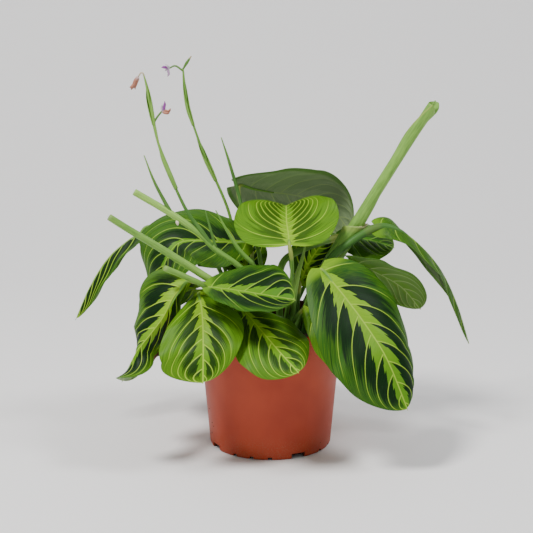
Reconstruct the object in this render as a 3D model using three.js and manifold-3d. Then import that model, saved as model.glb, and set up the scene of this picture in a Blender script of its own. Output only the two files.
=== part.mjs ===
// A potted prayer plant (Maranta leuconeura) in a 12 cm plastic nursery pot.
// Millimetres, +Z up. The origin is the centre of the pot's base, on the surface it stands on,
// and the plant's front faces -Y.
import * as THREE from "three";
import { mergeVertices } from "three/addons/utils/BufferGeometryUtils.js";
import Module from "manifold-3d";

const wasm = await Module();
wasm.setup();

// ---- Driving dimensions ----

const pot = {
  height: 105,
  baseRadius: 49.6,
  topRadius: 59,
  wall: 1.2,
  collarHeight: 9,
  collarStep: 1.2,
  footHeight: 3,
  footWidth: 2.8,
  channelWidth: 5,
  segments: 40,
};
// Notches in the foot: in each quarter one wide one, and three small ones round the quarter's middle.
const notches = { wide: 11, wideHeight: 4.4, small: 2.6, smallHeight: 1.8, first: 27, pitch: 17.5 };
const drain = { count: 8, radius: 1.7 };

const soilTop = 94;
const soilCrown = 2.5; // how much higher the soil lies in the middle than at the wall
const gap = 0.3; // between pieces that touch
const rootDepth = 24; // how deep each stem stands in the soil
const bladeThickness = 0.8;

const colours = {
  pot: 0x9c4a30,
  soil: 0x2a2019,
  leaf: 0x3f7a2b,
  leafDark: 0x1f5228,
  stem: 0x7fa35a,
  dry: 0x6b4a33,
  purple: 0x8a4f9c,
};

// ---- The leaves ----
// root: where the petiole leaves the soil. stalk: points that it passes on the way to the blade.
// rib: points along the midrib, from the blade's base to its tip. width: across the flattened blade.
// face: the way the upper side looks, from the base to the tip.
// left and right, seen on the upper side with the tip pointing away: [fold, curl] or [fold, curl, spread]
// from the base to the tip. Fold is the slope beside the midrib in degrees, up is positive, curl is how
// much that slope turns by the blade's edge, and spread makes that half wider. broad moves the widest
// place, past 1 towards the tip, and blunt squares the base the smaller it is. sweep carries the left
// and the right edge towards the tip, and lobe carries the base's corners back.
const leaves = [
  {
    name: "leaf_front_right",
    root: [22, -15],
    stalk: [[32, -28, 136]],
    rib: [[39, -40, 158], [57, -56, 140], [76, -71, 117], [91, -82, 94], [107, -87, 55]],
    width: 76,
    broad: 1.05,
    sweep: [0, 12],
    face: [[0, -0.5, 0.85], [0.25, -0.9, 0.35]],
    left: [[10, -16, 1.4], [6, -40, 1.12], [0, -64, 0.95], [-4, -60, 1.15]],
    right: [[10, -30, 1.1], [10, -28, 1.22], [10, -30, 1.1], [10, -30, 0.95]],
  },
  {
    name: "leaf_front_middle",
    root: [0, -24],
    stalk: [[-12, -30, 116]],
    rib: [[-24, -36, 125], [-10, -58, 115], [7, -80, 101], [22, -94, 88]],
    width: 62,
    blunt: 0.5,
    lobe: 2,
    sweep: [0, 8],
    face: [[0, -0.3, 0.95], [0.3, -0.6, 0.7]],
    left: [[8, -30, 1.1], [8, -30, 1.04], [8, -30, 1.14]],
    right: [[0, -30]],
  },
  {
    name: "leaf_front_left",
    root: [-27, -13],
    stalk: [[-41, -31, 124]],
    rib: [[-56, -44, 140], [-53, -68, 123], [-52, -86, 104], [-52, -96, 80]],
    width: 64,
    blunt: 0.62,
    lobe: 0,
    sweep: [-4, 12],
    face: [[0, -0.4, 0.9], [0, -0.85, 0.5]],
    left: [[-8, -12, 1.1], [6, -18, 1], [8, -18, 0.92]],
    right: [[-14, -12, 1.25], [6, -20, 1.08], [8, -20, 1.08], [8, -20, 1.6]],
  },
  {
    name: "leaf_middle_dark",
    root: [-13, -21],
    stalk: [[-23, -28, 115], [-31, -37, 130], [-40, -50, 143]],
    rib: [[-49, -60, 148], [-25, -64, 146], [-4, -66, 143], [20, -64, 138]],
    width: 56,
    face: [[0, -0.3, 0.95], [0.1, -0.4, 0.9]],
    left: [[16, -12, 1.1], [16, -12, 1.05], [16, -12, 1.2], [16, -12, 1.9]],
    right: [[12, -12, 1.1], [12, -12, 1.1], [12, -12, 0.95], [12, -12, 0.55]],
  },
  {
    name: "leaf_top",
    root: [11, -8],
    stalk: [[17, -30, 150]],
    rib: [[15, -38, 176], [14, -16, 181], [13, 6, 185], [13, 28, 189], [13, 46, 189]],
    width: 86,
    broad: 1,
    blunt: 0.42,
    lobe: 0,
    sweep: [-6, 0],
    face: [[0, -0.4, 0.9], [0, 0.2, 0.95]],
    left: [[-6, -10], [6, -18], [20, -12], [26, -8]],
    right: [[-6, -10], [10, -6], [23, -4], [30, -6]],
  },
  {
    name: "leaf_back_tall",
    root: [-6, 12],
    stalk: [[-8, 13, 146], [-13, 20, 166], [-24, 29, 193]],
    rib: [[-27, 38, 208], [-2, 50, 200], [25, 58, 194], [49, 60, 185], [68, 52, 164]],
    width: 78,
    lobe: 9,
    face: [[-0.2, 0.9, 0.4], [0.5, 0.8, 0.3]],
    left: [[0, -20]],
    right: [[10, -50, 1], [10, -50, 1], [10, -50, 1.08], [10, -50, 1.12]],
  },
  {
    name: "leaf_upper_left",
    root: [-13, 0],
    stalk: [[-14, 2, 146]],
    rib: [[-17, 5, 167], [-39, 4, 168], [-61, 1, 170], [-75, -3, 168], [-84, -8, 156], [-90, -10, 137],
      [-96, -9, 116]],
    width: 78,
    broad: 0.95,
    lobe: 4,
    face: [[0, -0.35, 0.93], [0, -0.35, 0.93], [-0.5, -0.3, 0.8], [-0.96, -0.22, 0.2]],
    left: [[8, -30], [12, -24], [8, -30]],
    right: [[22, -25]],
  },
  {
    name: "leaf_left_folded",
    root: [-26, -6],
    stalk: [[-48, -28, 134]],
    rib: [[-63, -49, 151], [-75, -58, 140], [-84, -64, 124], [-95, -68, 110], [-106, -70, 96], [-117, -68, 72]],
    width: 56,
    broad: 0.85,
    blunt: 0.34,
    lobe: 2,
    face: [
      [-0.3, -0.75, 0.6],
      [-0.35, -0.75, 0.55],
      [-0.45, -0.75, 0.5],
      [-0.7, -0.6, 0.4],
      [-0.75, 0.3, 0.5],
      [-0.1, 0.95, 0.3],
    ],
    left: [[-95, -10, 0.6], [-88, -10, 0.9], [-85, -10, 0.55], [-20, -20, 0.6]],
    right: [[2, -32, 2], [2, -32, 1.25], [2, -32, 1.03], [2, -32, 1]],
  },
  {
    name: "leaf_left_low",
    columns: 4,
    root: [-28, 4],
    stalk: [[-52, -12, 114]],
    rib: [[-70, -22, 113], [-85, -28, 98], [-97, -32, 88], [-106, -34, 75]],
    width: 30,
    broad: 0.7,
    face: [[-0.3, -0.5, 0.8], [-0.5, -0.7, 0.5]],
    left: [[8, -30]],
    right: [[8, -30]],
  },
  {
    name: "leaf_far_left",
    columns: 4,
    root: [-22, 16],
    stalk: [[-56, 32, 160]],
    rib: [[-97, 36, 175], [-116, 31, 164], [-134, 25, 149], [-149, 19, 126], [-161, 14, 99]],
    width: 22,
    face: [[-0.3, 0.3, 0.9], [-0.7, 0.2, 0.7]],
    left: [[-70, 10]],
    right: [[-70, 10]],
  },
  {
    name: "leaf_far_right",
    columns: 4,
    root: [27, -2],
    stalk: [[44, -6, 149], [64, -3, 169]],
    stalkRadius: [3.4, 3.2],
    rib: [[85, 2, 181], [100, 2, 181], [119, 2, 168], [138, 2, 146], [152, 2, 117], [163, 2, 82]],
    width: 28,
    broad: 0.65,
    face: [[0, -0.85, 0.5], [0.6, 0.4, 0.7], [0.3, 0.9, 0.2], [0.3, 0.9, 0.2], [0.3, 0.9, 0.2]],
    left: [[0, -20, 1], [-15, -20, 0.8], [-62, -10, 0.6], [-76, 0, 0.8]],
    right: [[0, 0], [-60, 0], [-95, 4], [-95, 4]],
  },
  {
    name: "leaf_right_turned",
    root: [33, 3],
    stalk: [[52, -4, 143]],
    rib: [[63, -4, 156], [85, -8, 146], [106, -10, 134], [122, -10, 115]],
    width: 54,
    face: [[0.2, 0.6, 0.75], [0.3, 0.6, 0.7]],
    left: [[8, -30]],
    right: [[8, -30, 1.1], [8, -30, 1.35], [8, -30, 1.3], [8, -30, 1.1]],
  },
  {
    name: "leaf_right_back",
    root: [8, 6],
    stalk: [[8, -8, 148], [24, 4, 161]],
    stalkRadius: [3, 2.8],
    rib: [[57, 26, 168], [75, 24, 166], [90, 22, 163], [102, 20, 159]],
    width: 52,
    face: [[0, -0.4, 0.9], [0.2, -0.4, 0.9]],
    left: [[8, -30]],
    right: [[8, -30]],
  },
  {
    name: "leaf_right_low",
    root: [12, -24],
    stalk: [[22, -35, 118]],
    rib: [[30, -45, 127], [44, -57, 110], [58, -64, 92], [68, -65, 72]],
    width: 34,
    face: [[0.2, -0.6, 0.75], [0.4, -0.8, 0.4]],
    left: [[8, -30]],
    right: [[5, -44]],
  },
  {
    name: "leaf_rear_left",
    rows: 9,
    root: [-26, 24],
    stalk: [[-38, 34, 138]],
    rib: [[-46, 42, 148], [-62, 56, 145], [-76, 68, 132], [-86, 76, 112]],
    width: 54,
    face: [[-0.3, 0.3, 0.9], [-0.6, 0.6, 0.5]],
    left: [[10, -30]],
    right: [[10, -30]],
  },
  {
    name: "leaf_rear_left_low",
    rows: 9,
    root: [-34, 14],
    stalk: [[-54, 18, 116]],
    rib: [[-62, 20, 124], [-78, 26, 118], [-92, 32, 101], [-100, 36, 80]],
    width: 46,
    face: [[-0.3, 0.1, 0.9], [-0.8, 0.2, 0.5]],
    left: [[10, -30]],
    right: [[10, -30]],
  },
  {
    name: "leaf_rear_middle",
    rows: 9,
    root: [-8, 33],
    stalk: [[-10, 44, 116]],
    rib: [[-12, 52, 124], [-14, 74, 120], [-15, 92, 104], [-16, 102, 82]],
    width: 62,
    face: [[0, 0.3, 0.95], [0, 0.85, 0.5]],
    left: [[10, -30]],
    right: [[10, -30]],
  },
  {
    name: "leaf_rear_right",
    rows: 9,
    root: [16, 28],
    stalk: [[32, 40, 128]],
    rib: [[40, 48, 138], [56, 62, 134], [70, 73, 119], [80, 80, 97]],
    width: 54,
    face: [[0.2, 0.3, 0.9], [0.5, 0.7, 0.5]],
    left: [[10, -30]],
    right: [[10, -30]],
  },
  {
    name: "leaf_rear_right_low",
    rows: 9,
    root: [34, 16],
    stalk: [[54, 22, 114]],
    rib: [[62, 24, 121], [78, 29, 113], [90, 34, 97], [97, 38, 78]],
    width: 44,
    face: [[0.3, 0.1, 0.9], [0.8, 0.2, 0.5]],
    left: [[10, -30]],
    right: [[10, -30]],
  },
  {
    name: "leaf_inner_left",
    rows: 8,
    columns: 4,
    root: [-12, 24],
    stalk: [[-17, 32, 112]],
    rib: [[-20, 38, 126], [-21, 41, 142], [-21, 44, 155], [-22, 47, 166]],
    width: 38,
    face: [[0.1, -0.9, 0.3], [0, -0.8, 0.6]],
    left: [[10, -30]],
    right: [[10, -30]],
  },
  {
    name: "leaf_inner_right",
    rows: 8,
    columns: 4,
    root: [22, 18],
    stalk: [[23, 26, 114]],
    rib: [[25, 31, 128], [32, 35, 142], [40, 38, 154], [50, 41, 164]],
    width: 40,
    face: [[0.1, -0.85, 0.4], [0.2, -0.8, 0.6]],
    left: [[10, -30]],
    right: [[10, -30]],
  },
];

// ---- Stems, shoots and flower stalks ----
// The first tube of each stands in the soil. path: points that a tube's middle passes. radii: its
// radius, at even steps along it.
const shoots = [
  {
    name: "leaf_rolled",
    tubes: [
      {
        path: [[20, 6, 94], [42, 5, 135], [56, 6, 159], [73, 8, 184], [92, 10, 220], [112, 12, 252], [132, 14, 282]],
        radii: [2.8, 3, 3.6, 5.4, 5.4, 5.1, 4.8, 4.4],
      },
      { path: [[50, 3, 158], [57, 3, 172], [64, 4, 186]], radii: [3, 2.6, 0.4] },
    ],
  },
  {
    name: "stem_cut_long",
    tubes: [
      {
        path: [[-13, -8, 94], [-29, -30, 136], [-46, -42, 148], [-63, -49, 161], [-86, -56, 178], [-109, -62, 194],
          [-124, -66, 205]],
        radii: [2.2, 2.6, 3, 3, 3, 2.8, 2.6],
      },
    ],
  },
  {
    name: "stem_cut_short",
    tubes: [
      {
        path: [[-20, -12, 94], [-38, -38, 132], [-51, -48, 145], [-66, -57, 155], [-82, -64, 164]],
        radii: [2, 2.2, 2.3, 2.3],
      },
    ],
  },
  {
    name: "shoot_flowering_left",
    tubes: [
      {
        path: [[4, -15, 94], [-8, -26, 136], [-24, -35, 157], [-44, -39, 173], [-55, -40, 185], [-79, -42, 203],
          [-106, -44, 220]],
        radii: [2, 2.2, 2.3, 2.3, 2.3, 2.7, 2.7],
      },
      { path: [[-77, -42, 201], [-90, -43, 227], [-98, -44, 249]], radii: [1.8, 1.2, 0.4] },
      { path: [[-46, -40, 176], [-55, -41, 189], [-62, -41, 200]], radii: [1.4, 2, 0.4] },
      { path: [[-43, -39, 174], [-48, -39, 192], [-51, -39, 204]], radii: [1.2, 1, 0.4] },
      {
        path: [[-50, -40, 181], [-63, -41, 200], [-70, -40, 213], [-80, -38, 236], [-86, -36, 252], [-91, -34, 274],
          [-97, -32, 306], [-99.5, -32, 311.5], [-102.5, -32, 308]],
        radii: [1.5, 1.5, 1.4, 1.5, 1.4, 1.6, 1.2, 1.2, 0.9, 0.7],
      },
      { path: [[-91, -34, 272], [-88, -34, 277], [-84, -34, 282]], radii: [0.9, 0.8, 0.7] },
    ],
  },
  {
    name: "shoot_middle",
    tubes: [
      {
        path: [[-2, -10, 94], [-6, -22, 140], [-14, -30, 158], [-24, -34, 170], [-32, -36, 183], [-43, -38, 204]],
        radii: [1.7, 1.7, 1.8, 1.8, 0.4],
      },
    ],
  },
  {
    name: "shoot_flowering_back",
    tubes: [
      {
        path: [[-18, 24, 94], [-28, 38, 150], [-35, 42, 186], [-54, 41, 232], [-64, 40, 261], [-68, 40, 277],
          [-71, 40, 304]],
        radii: [1.7, 1.6, 1.5, 1.5, 1.7, 1.2, 1.1, 0.9],
      },
      { path: [[-71, 40, 303], [-68, 40, 308], [-64, 40, 314]], radii: [0.9, 1, 0.4] },
      { path: [[-71, 40, 302], [-77, 40, 306], [-82, 40, 304]], radii: [0.8, 0.8, 0.6] },
    ],
  },
  {
    name: "shoot_small",
    tubes: [
      {
        path: [[17, -14, 94], [20, -15, 136], [26, -12, 160], [29, -10, 174]],
        radii: [1.4, 1.8, 2.6, 0.4],
      },
    ],
  },
];
// The shoot beside the tall back leaf's petiole, grown together with it.
const backSheath = { path: [[-23, 27, 190], [-27, 31, 205], [-34, 30, 230], [-40, 30, 249]], radii: [1.2, 1.6, 1.2, 0.4] };

// Blooms: the stalk tip that each sits on, the way it opens, its petals' length and its colour.
const blooms = [
  { name: "bloom_withered", tip: [-102.5, -32, 308], opens: [-0.55, 0, -0.85], petal: 6, colour: colours.dry },
  { name: "bloom_left", tip: [-84, -34, 282], opens: [0.6, -0.2, 0.8], petal: 5, colour: colours.purple },
  { name: "bloom_back", tip: [-82, 40, 304], opens: [-0.9, -0.2, -0.3], petal: 5, colour: colours.purple },
];
const bloomHeart = 1.3; // radius of a bloom's heart

// ---- Geometry helpers ----

const vector = (p) => new THREE.Vector3(...p);
const curveThrough = (points) => new THREE.CatmullRomCurve3(points, false, "catmullrom", 0.5);
const radians = THREE.MathUtils.degToRad;
const mix = THREE.MathUtils.lerp;

// The value at a share t of the way along a list of evenly spaced keys, each an array of numbers.
function keyed(keys, t) {
  const place = t * (keys.length - 1);
  const i = Math.min(Math.floor(place), Math.max(keys.length - 2, 0));
  const next = keys[Math.min(i + 1, keys.length - 1)];
  return keys[i].map((value, k) => mix(value, next[k], place - i));
}

// A geometry as a solid, with its doubled vertices merged and its collapsed triangles dropped.
function solidOf(geometry) {
  const bare = new THREE.BufferGeometry();
  bare.setAttribute("position", geometry.getAttribute("position"));
  bare.setIndex(geometry.getIndex());
  const merged = mergeVertices(bare, 1e-4);
  const corners = merged.index.array;
  const kept = [];
  for (let i = 0; i < corners.length; i += 3) {
    const [a, b, c] = corners.subarray(i, i + 3);
    if (a !== b && b !== c && c !== a) kept.push(a, b, c);
  }
  return new wasm.Manifold(
    new wasm.Mesh({
      numProp: 3,
      vertProperties: merged.attributes.position.array,
      triVerts: new Uint32Array(kept),
    }),
  );
}

function geometryOf(solid) {
  const mesh = solid.getMesh();
  const geometry = new THREE.BufferGeometry();
  geometry.setAttribute("position", new THREE.BufferAttribute(mesh.vertProperties, 3));
  geometry.setIndex(new THREE.BufferAttribute(mesh.triVerts, 1));
  geometry.computeVertexNormals();
  return geometry;
}

// Solids joined into one body; a fold that closes on itself may leave a speck, which is dropped.
function joined(solids) {
  const bodies = solids.reduce((whole, next) => whole.add(next)).decompose();
  return bodies.reduce((biggest, next) => (next.volume() > biggest.volume() ? next : biggest));
}

function buildGeometry(points, triangles) {
  const geometry = new THREE.BufferGeometry();
  geometry.setAttribute("position", new THREE.Float32BufferAttribute(points.flatMap((p) => p.toArray()), 3));
  geometry.setIndex(triangles.flat());
  return geometry;
}

// A closed round tube along a curve, with two steps from each of the curve's own points to the next.
// radiusAt gives its radius at a share of its length.
function tubeSolid(curve, radiusAt, sides) {
  const steps = 2 * (curve.points.length - 1);
  const lengths = curve.getLengths(10 * steps);
  const points = [];
  const triangles = [];
  const ring = (i, j) => i * sides + (j % sides);
  const across = new THREE.Vector3(0.1, 1, 0.05);
  for (let i = 0; i <= steps; i++) {
    const share = lengths[10 * i] / lengths[10 * steps];
    const centre = curve.getPoint(i / steps);
    const along = curve.getTangent(i / steps);
    across.addScaledVector(along, -across.dot(along)).normalize();
    const other = along.clone().cross(across);
    for (let j = 0; j < sides; j++) {
      const angle = (2 * Math.PI * j) / sides;
      points.push(
        centre
          .clone()
          .addScaledVector(across, radiusAt(share) * Math.cos(angle))
          .addScaledVector(other, radiusAt(share) * Math.sin(angle)),
      );
    }
  }
  const first = points.push(curve.getPoint(0)) - 1;
  const last = points.push(curve.getPoint(1)) - 1;
  for (let j = 0; j < sides; j++) {
    for (let i = 0; i < steps; i++) {
      triangles.push([ring(i, j), ring(i, j + 1), ring(i + 1, j + 1)]);
      triangles.push([ring(i, j), ring(i + 1, j + 1), ring(i + 1, j)]);
    }
    triangles.push([first, ring(0, j + 1), ring(0, j)]);
    triangles.push([last, ring(steps, j), ring(steps, j + 1)]);
  }
  return solidOf(buildGeometry(points, triangles));
}

// ---- Pot and soil ----

const potRadiusAt = (z) => mix(pot.baseRadius, pot.topRadius, z / pot.height);

// A profile of [radius, height] pairs turned round the Z axis.
function turned(profile, segments) {
  const points = profile.map(([r, z]) => new THREE.Vector2(r, z));
  return new THREE.LatheGeometry(points, segments).rotateX(Math.PI / 2);
}

function makePot() {
  const { height, wall, footHeight, footWidth, channelWidth, collarHeight, collarStep } = pot;
  const footInner = pot.baseRadius - footWidth;
  const discEdge = footInner - channelWidth;
  const collarFoot = height - collarHeight;
  const profile = [
    [0, 0],
    [discEdge, 0],
    [discEdge + wall, footHeight],
    [footInner - wall / 2, footHeight],
    [footInner, 0],
    [pot.baseRadius - 1, 0],
    [pot.baseRadius - 0.3, 0.5],
    [potRadiusAt(1.5), 1.5],
    [potRadiusAt(collarFoot), collarFoot],
    [potRadiusAt(collarFoot) + collarStep, collarFoot + 1],
    [potRadiusAt(height) + collarStep, height - 0.6],
    [potRadiusAt(height) + collarStep - 0.5, height],
    [potRadiusAt(height) - wall / 2, height],
    [potRadiusAt(collarFoot) - wall, collarFoot - 1],
    [potRadiusAt(footHeight + 2 * wall) - wall, footHeight + 2 * wall],
    [footInner, footHeight + wall],
    [discEdge, footHeight + wall],
    [discEdge - wall, wall],
    [0, wall],
  ];
  let body = solidOf(turned(profile, pot.segments));

  const cutAt = (degrees, width, tall) => {
    const depth = 4 * footWidth;
    const block = new THREE.BoxGeometry(width, depth, 2 * tall);
    block.translate(0, -pot.baseRadius, 0);
    return solidOf(block.rotateZ(radians(degrees)));
  };
  for (let quarter = 0; quarter < 4; quarter++) {
    const start = notches.first + 90 * quarter;
    body = body.subtract(cutAt(start, notches.wide, notches.wideHeight));
    for (const step of [-1, 0, 1]) {
      const degrees = start + 45 + step * notches.pitch;
      body = body.subtract(cutAt(degrees, notches.small, notches.smallHeight));
    }
  }
  for (let i = 0; i < drain.count; i++) {
    const hole = new THREE.CylinderGeometry(drain.radius, drain.radius, 4 * wall, 10);
    hole.rotateX(Math.PI / 2);
    hole.translate(0, -(footInner + discEdge) / 2 - wall / 3, footHeight);
    hole.rotateZ((2 * Math.PI * (i + 0.5)) / drain.count);
    body = body.subtract(solidOf(hole));
  }
  return body;
}

// The soil with the root ball in it, lower at the wall, with a hole for each stem.
function makeSoil(stemHoles) {
  const inner = (z) => potRadiusAt(z) - pot.wall - gap;
  const floor = pot.footHeight + pot.wall + gap;
  const edge = soilTop - soilCrown;
  const profile = [
    [0, floor],
    [potRadiusAt(floor) - 3 * pot.wall, floor],
    [inner(floor + 2 * pot.wall), floor + 2 * pot.wall],
    [inner(edge), edge],
    [0.8 * inner(edge), edge + 0.4 * soilCrown],
    [0.45 * inner(edge), edge + 0.9 * soilCrown],
    [0, soilTop],
  ];
  return stemHoles.reduce((rest, hole) => rest.subtract(hole), solidOf(turned(profile, 32)));
}

// ---- Leaf blades and stems ----

// Half the blade's width at a share t of its length: a sine, with its top moved by broad, blunter
// at the base than at the tip.
function halfWidthAt(leaf, t) {
  const along = Math.max(Math.sin(Math.PI * Math.pow(t, leaf.broad ?? 1.15)), 0);
  return Math.max((leaf.width / 2) * Math.pow(along, mix(leaf.blunt ?? 0.38, 0.55, t)), 0.9);
}

// The blade's own frame at t: a point on the midrib, the way along it, and the way its face looks.
function frameAt(leaf, rib, t) {
  const along = rib.getTangentAt(t);
  const face = vector(keyed(leaf.face, t));
  const normal = face.addScaledVector(along, -face.dot(along)).normalize();
  return { point: rib.getPointAt(t), along, normal, side: along.clone().cross(normal) };
}

// A point of the upper side, rolled out from the midrib by the fold and the curl of its half,
// and its normal. across runs from -1 on the left edge to 1 on the right.
function bladePoint(leaf, rib, t, across) {
  const frame = frameAt(leaf, rib, t);
  const [fold, curl, spread = 1] = keyed(across < 0 ? leaf.left : leaf.right, t);
  const slope = radians(fold);
  const turn = radians(curl) || 1e-6;
  const reach = spread * halfWidthAt(leaf, t);
  const share = Math.abs(across);
  const out = (reach * (Math.sin(slope + turn * share) - Math.sin(slope))) / turn;
  const ripple = (leaf.wave ?? 1) * share * share * Math.sin(Math.PI * t);
  const lift =
    (reach * (Math.cos(slope) - Math.cos(slope + turn * share))) / turn +
    ripple * Math.sin(2 * Math.PI * (leaf.waves ?? 3) * t + (across < 0 ? 1 : 2.5));
  const sweep = (leaf.sweep ?? [0, 0])[across < 0 ? 0 : 1];
  const slide = share * share * (sweep * Math.sin(Math.PI * t) - (leaf.lobe ?? 4) * Math.exp(-t / 0.06));
  const sign = Math.sign(across);
  const tilt = across === 0 ? 0 : slope + turn * share;
  return {
    point: frame.point
      .addScaledVector(frame.side, sign * out)
      .addScaledVector(frame.normal, lift)
      .addScaledVector(frame.along, slide),
    normal: frame.normal
      .clone()
      .multiplyScalar(Math.cos(tilt))
      .addScaledVector(frame.side, -sign * Math.sin(tilt)),
  };
}

// The blade: a grid of the upper side and the same grid one thickness below it, both split into
// triangles alike, closed round the edge.
function bladeSolid(leaf) {
  const rib = curveThrough(leaf.rib.map(vector));
  const rows = leaf.rows ?? 11;
  const columns = leaf.columns ?? 6;
  const upper = [];
  const lower = [];
  for (let i = 0; i <= rows; i++) {
    const t = mix(i / rows, 0.5 - 0.5 * Math.cos((Math.PI * i) / rows), 0.6);
    for (let j = 0; j <= columns; j++) {
      const { point, normal } = bladePoint(leaf, rib, t, (2 * j) / columns - 1);
      upper.push(point);
      lower.push(point.clone().addScaledVector(normal, -bladeThickness));
    }
  }
  const at = (i, j) => i * (columns + 1) + j;
  const under = (k) => k + upper.length;
  const triangles = [];
  for (let i = 0; i < rows; i++) {
    for (let j = 0; j < columns; j++) {
      const [a, b, c, d] = [at(i, j), at(i, j + 1), at(i + 1, j + 1), at(i + 1, j)];
      const split = j < columns / 2 ? [[a, b, c], [a, c, d]] : [[a, b, d], [b, c, d]];
      for (const [p, q, r] of split) {
        triangles.push([p, q, r], [under(p), under(r), under(q)]);
      }
    }
  }
  const edge = [];
  for (let j = 0; j < columns; j++) edge.push(at(0, j));
  for (let i = 0; i < rows; i++) edge.push(at(i, columns));
  for (let j = columns; j > 0; j--) edge.push(at(rows, j));
  for (let i = rows; i > 0; i--) edge.push(at(i, 0));
  edge.forEach((p, k) => {
    const q = edge[(k + 1) % edge.length];
    triangles.push([q, p, under(p)], [q, under(p), under(q)]);
  });
  return solidOf(buildGeometry(upper.concat(lower), triangles));
}

// The petiole: up from the soil to the blade's base, swollen just below it, then on along the
// underside of the midrib, thinner and thinner.
function stalkSolid(leaf, clearance = 0) {
  const rib = curveThrough(leaf.rib.map(vector));
  const [thick, thin] = leaf.stalkRadius ?? [2.2, 1.4];
  const [x, y] = leaf.root;
  const below = (t, depth) => {
    const { point, normal } = frameAt(leaf, rib, t);
    return point.addScaledVector(normal, -depth);
  };
  const path = [
    vector([x, y, soilTop - rootDepth - clearance]),
    vector([x, y, soilTop]),
    ...leaf.stalk.map(vector),
    below(0.01, 1.5),
    below(0.14, 1.3),
    below(0.3, 1.1),
  ];
  const curve = curveThrough(path);
  const marks = curve.getLengths(20 * (path.length - 1));
  const total = marks[marks.length - 1];
  const neck = marks[20 * (path.length - 3)] / total;
  const swelling = 5 / total;
  const radiusAt = (u) => {
    const stalk = mix(thick, thin, Math.min(u / neck, 1));
    const tail = mix(thin, 0.5, Math.max(u - neck, 0) / (1 - neck));
    const knee = 0.35 * Math.exp(-(((u - neck + swelling) / swelling) ** 2));
    return (u < neck ? stalk : tail) + knee + clearance;
  };
  return tubeSolid(curve, radiusAt, 6);
}

// ---- Shoots and blooms ----

function shootTube({ path, radii }, rooted = false, clearance = 0) {
  const points = path.map(vector);
  if (rooted) points.unshift(points[0].clone().setZ(soilTop - rootDepth - clearance));
  const curve = curveThrough(points);
  const radiusAt = (u) => keyed(radii.map((radius) => [radius]), u)[0] + clearance;
  return tubeSolid(curve, radiusAt, Math.max(...radii) > 4 ? 10 : 6);
}

function makeShoot(shoot) {
  return joined(shoot.tubes.map((tube, i) => shootTube(tube, i === 0)));
}

// A bloom: a small round heart and five narrow petals that open round it. It sits one gap off the end
// of its stalk.
function makeBloom({ tip, opens, petal }) {
  const whole = [solidOf(new THREE.SphereGeometry(bloomHeart, 6, 4).rotateX(Math.PI / 2))];
  const count = 5;
  for (let i = 0; i < count; i++) {
    const angle = (2 * Math.PI * i) / count;
    const out = (r, z) => [r * Math.cos(angle), r * Math.sin(angle), z];
    const leaf = {
      rib: [out(0.9, 0.4), out(0.45 * petal, 0.5 * petal), out(0.75 * petal, 0.9 * petal)],
      face: [out(-1, 0.8)],
      left: [[0, 0]],
      right: [[0, 0]],
      width: 0.4 * petal,
      broad: 0.8,
      wave: 0,
      lobe: 0,
      rows: 3,
      columns: 2,
    };
    whole.push(bladeSolid(leaf));
  }
  const up = new THREE.Vector3(0, 0, 1);
  const way = vector(opens).normalize();
  const turn = new THREE.Quaternion().setFromUnitVectors(up, way);
  const centre = vector(tip).addScaledVector(way, bloomHeart + gap);
  const place = new THREE.Matrix4().compose(centre, turn, new THREE.Vector3(1, 1, 1));
  return joined(whole).transform(place.elements);
}

// ---- Assembly ----

const plant = new THREE.Group();
const stemHoles = [];

function addPiece(name, solid, colour, roughness = 0.6) {
  const material = new THREE.MeshStandardMaterial({ color: colour, roughness, metalness: 0 });
  const mesh = new THREE.Mesh(geometryOf(solid), material);
  mesh.name = name;
  plant.add(mesh);
}

for (const leaf of leaves) {
  const parts = [bladeSolid(leaf), stalkSolid(leaf)];
  if (leaf.name === "leaf_back_tall") parts.push(shootTube(backSheath));
  addPiece(leaf.name, joined(parts), colours.leaf, 0.5);
  stemHoles.push(stalkSolid(leaf, gap));
}
for (const shoot of shoots) {
  addPiece(shoot.name, makeShoot(shoot), colours.stem);
  stemHoles.push(shootTube(shoot.tubes[0], true, gap));
}
for (const bloom of blooms) addPiece(bloom.name, makeBloom(bloom), bloom.colour);
addPiece("pot", makePot(), colours.pot, 0.55);
addPiece("soil", makeSoil(stemHoles), colours.soil, 0.95);

export default plant;
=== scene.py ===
import math

import bpy
import numpy as np
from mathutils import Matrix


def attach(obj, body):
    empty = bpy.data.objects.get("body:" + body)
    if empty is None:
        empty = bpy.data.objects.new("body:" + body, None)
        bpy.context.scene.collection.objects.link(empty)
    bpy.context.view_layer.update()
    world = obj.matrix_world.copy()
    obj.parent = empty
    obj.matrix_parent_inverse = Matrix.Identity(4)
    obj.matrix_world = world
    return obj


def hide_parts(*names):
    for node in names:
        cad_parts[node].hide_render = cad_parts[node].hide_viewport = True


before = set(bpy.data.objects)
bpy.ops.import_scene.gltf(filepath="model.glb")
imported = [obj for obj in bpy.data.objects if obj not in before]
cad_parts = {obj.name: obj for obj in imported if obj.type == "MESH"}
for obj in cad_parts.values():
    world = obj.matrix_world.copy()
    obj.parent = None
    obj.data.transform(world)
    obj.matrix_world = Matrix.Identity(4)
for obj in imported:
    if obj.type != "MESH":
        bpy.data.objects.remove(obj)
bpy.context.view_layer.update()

# a potted prayer plant. Lengths are in mm, +Z is up and the front faces -Y
mm = 0.001
scene = bpy.context.scene
soilTop, rootBottom = 94, 70

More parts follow.
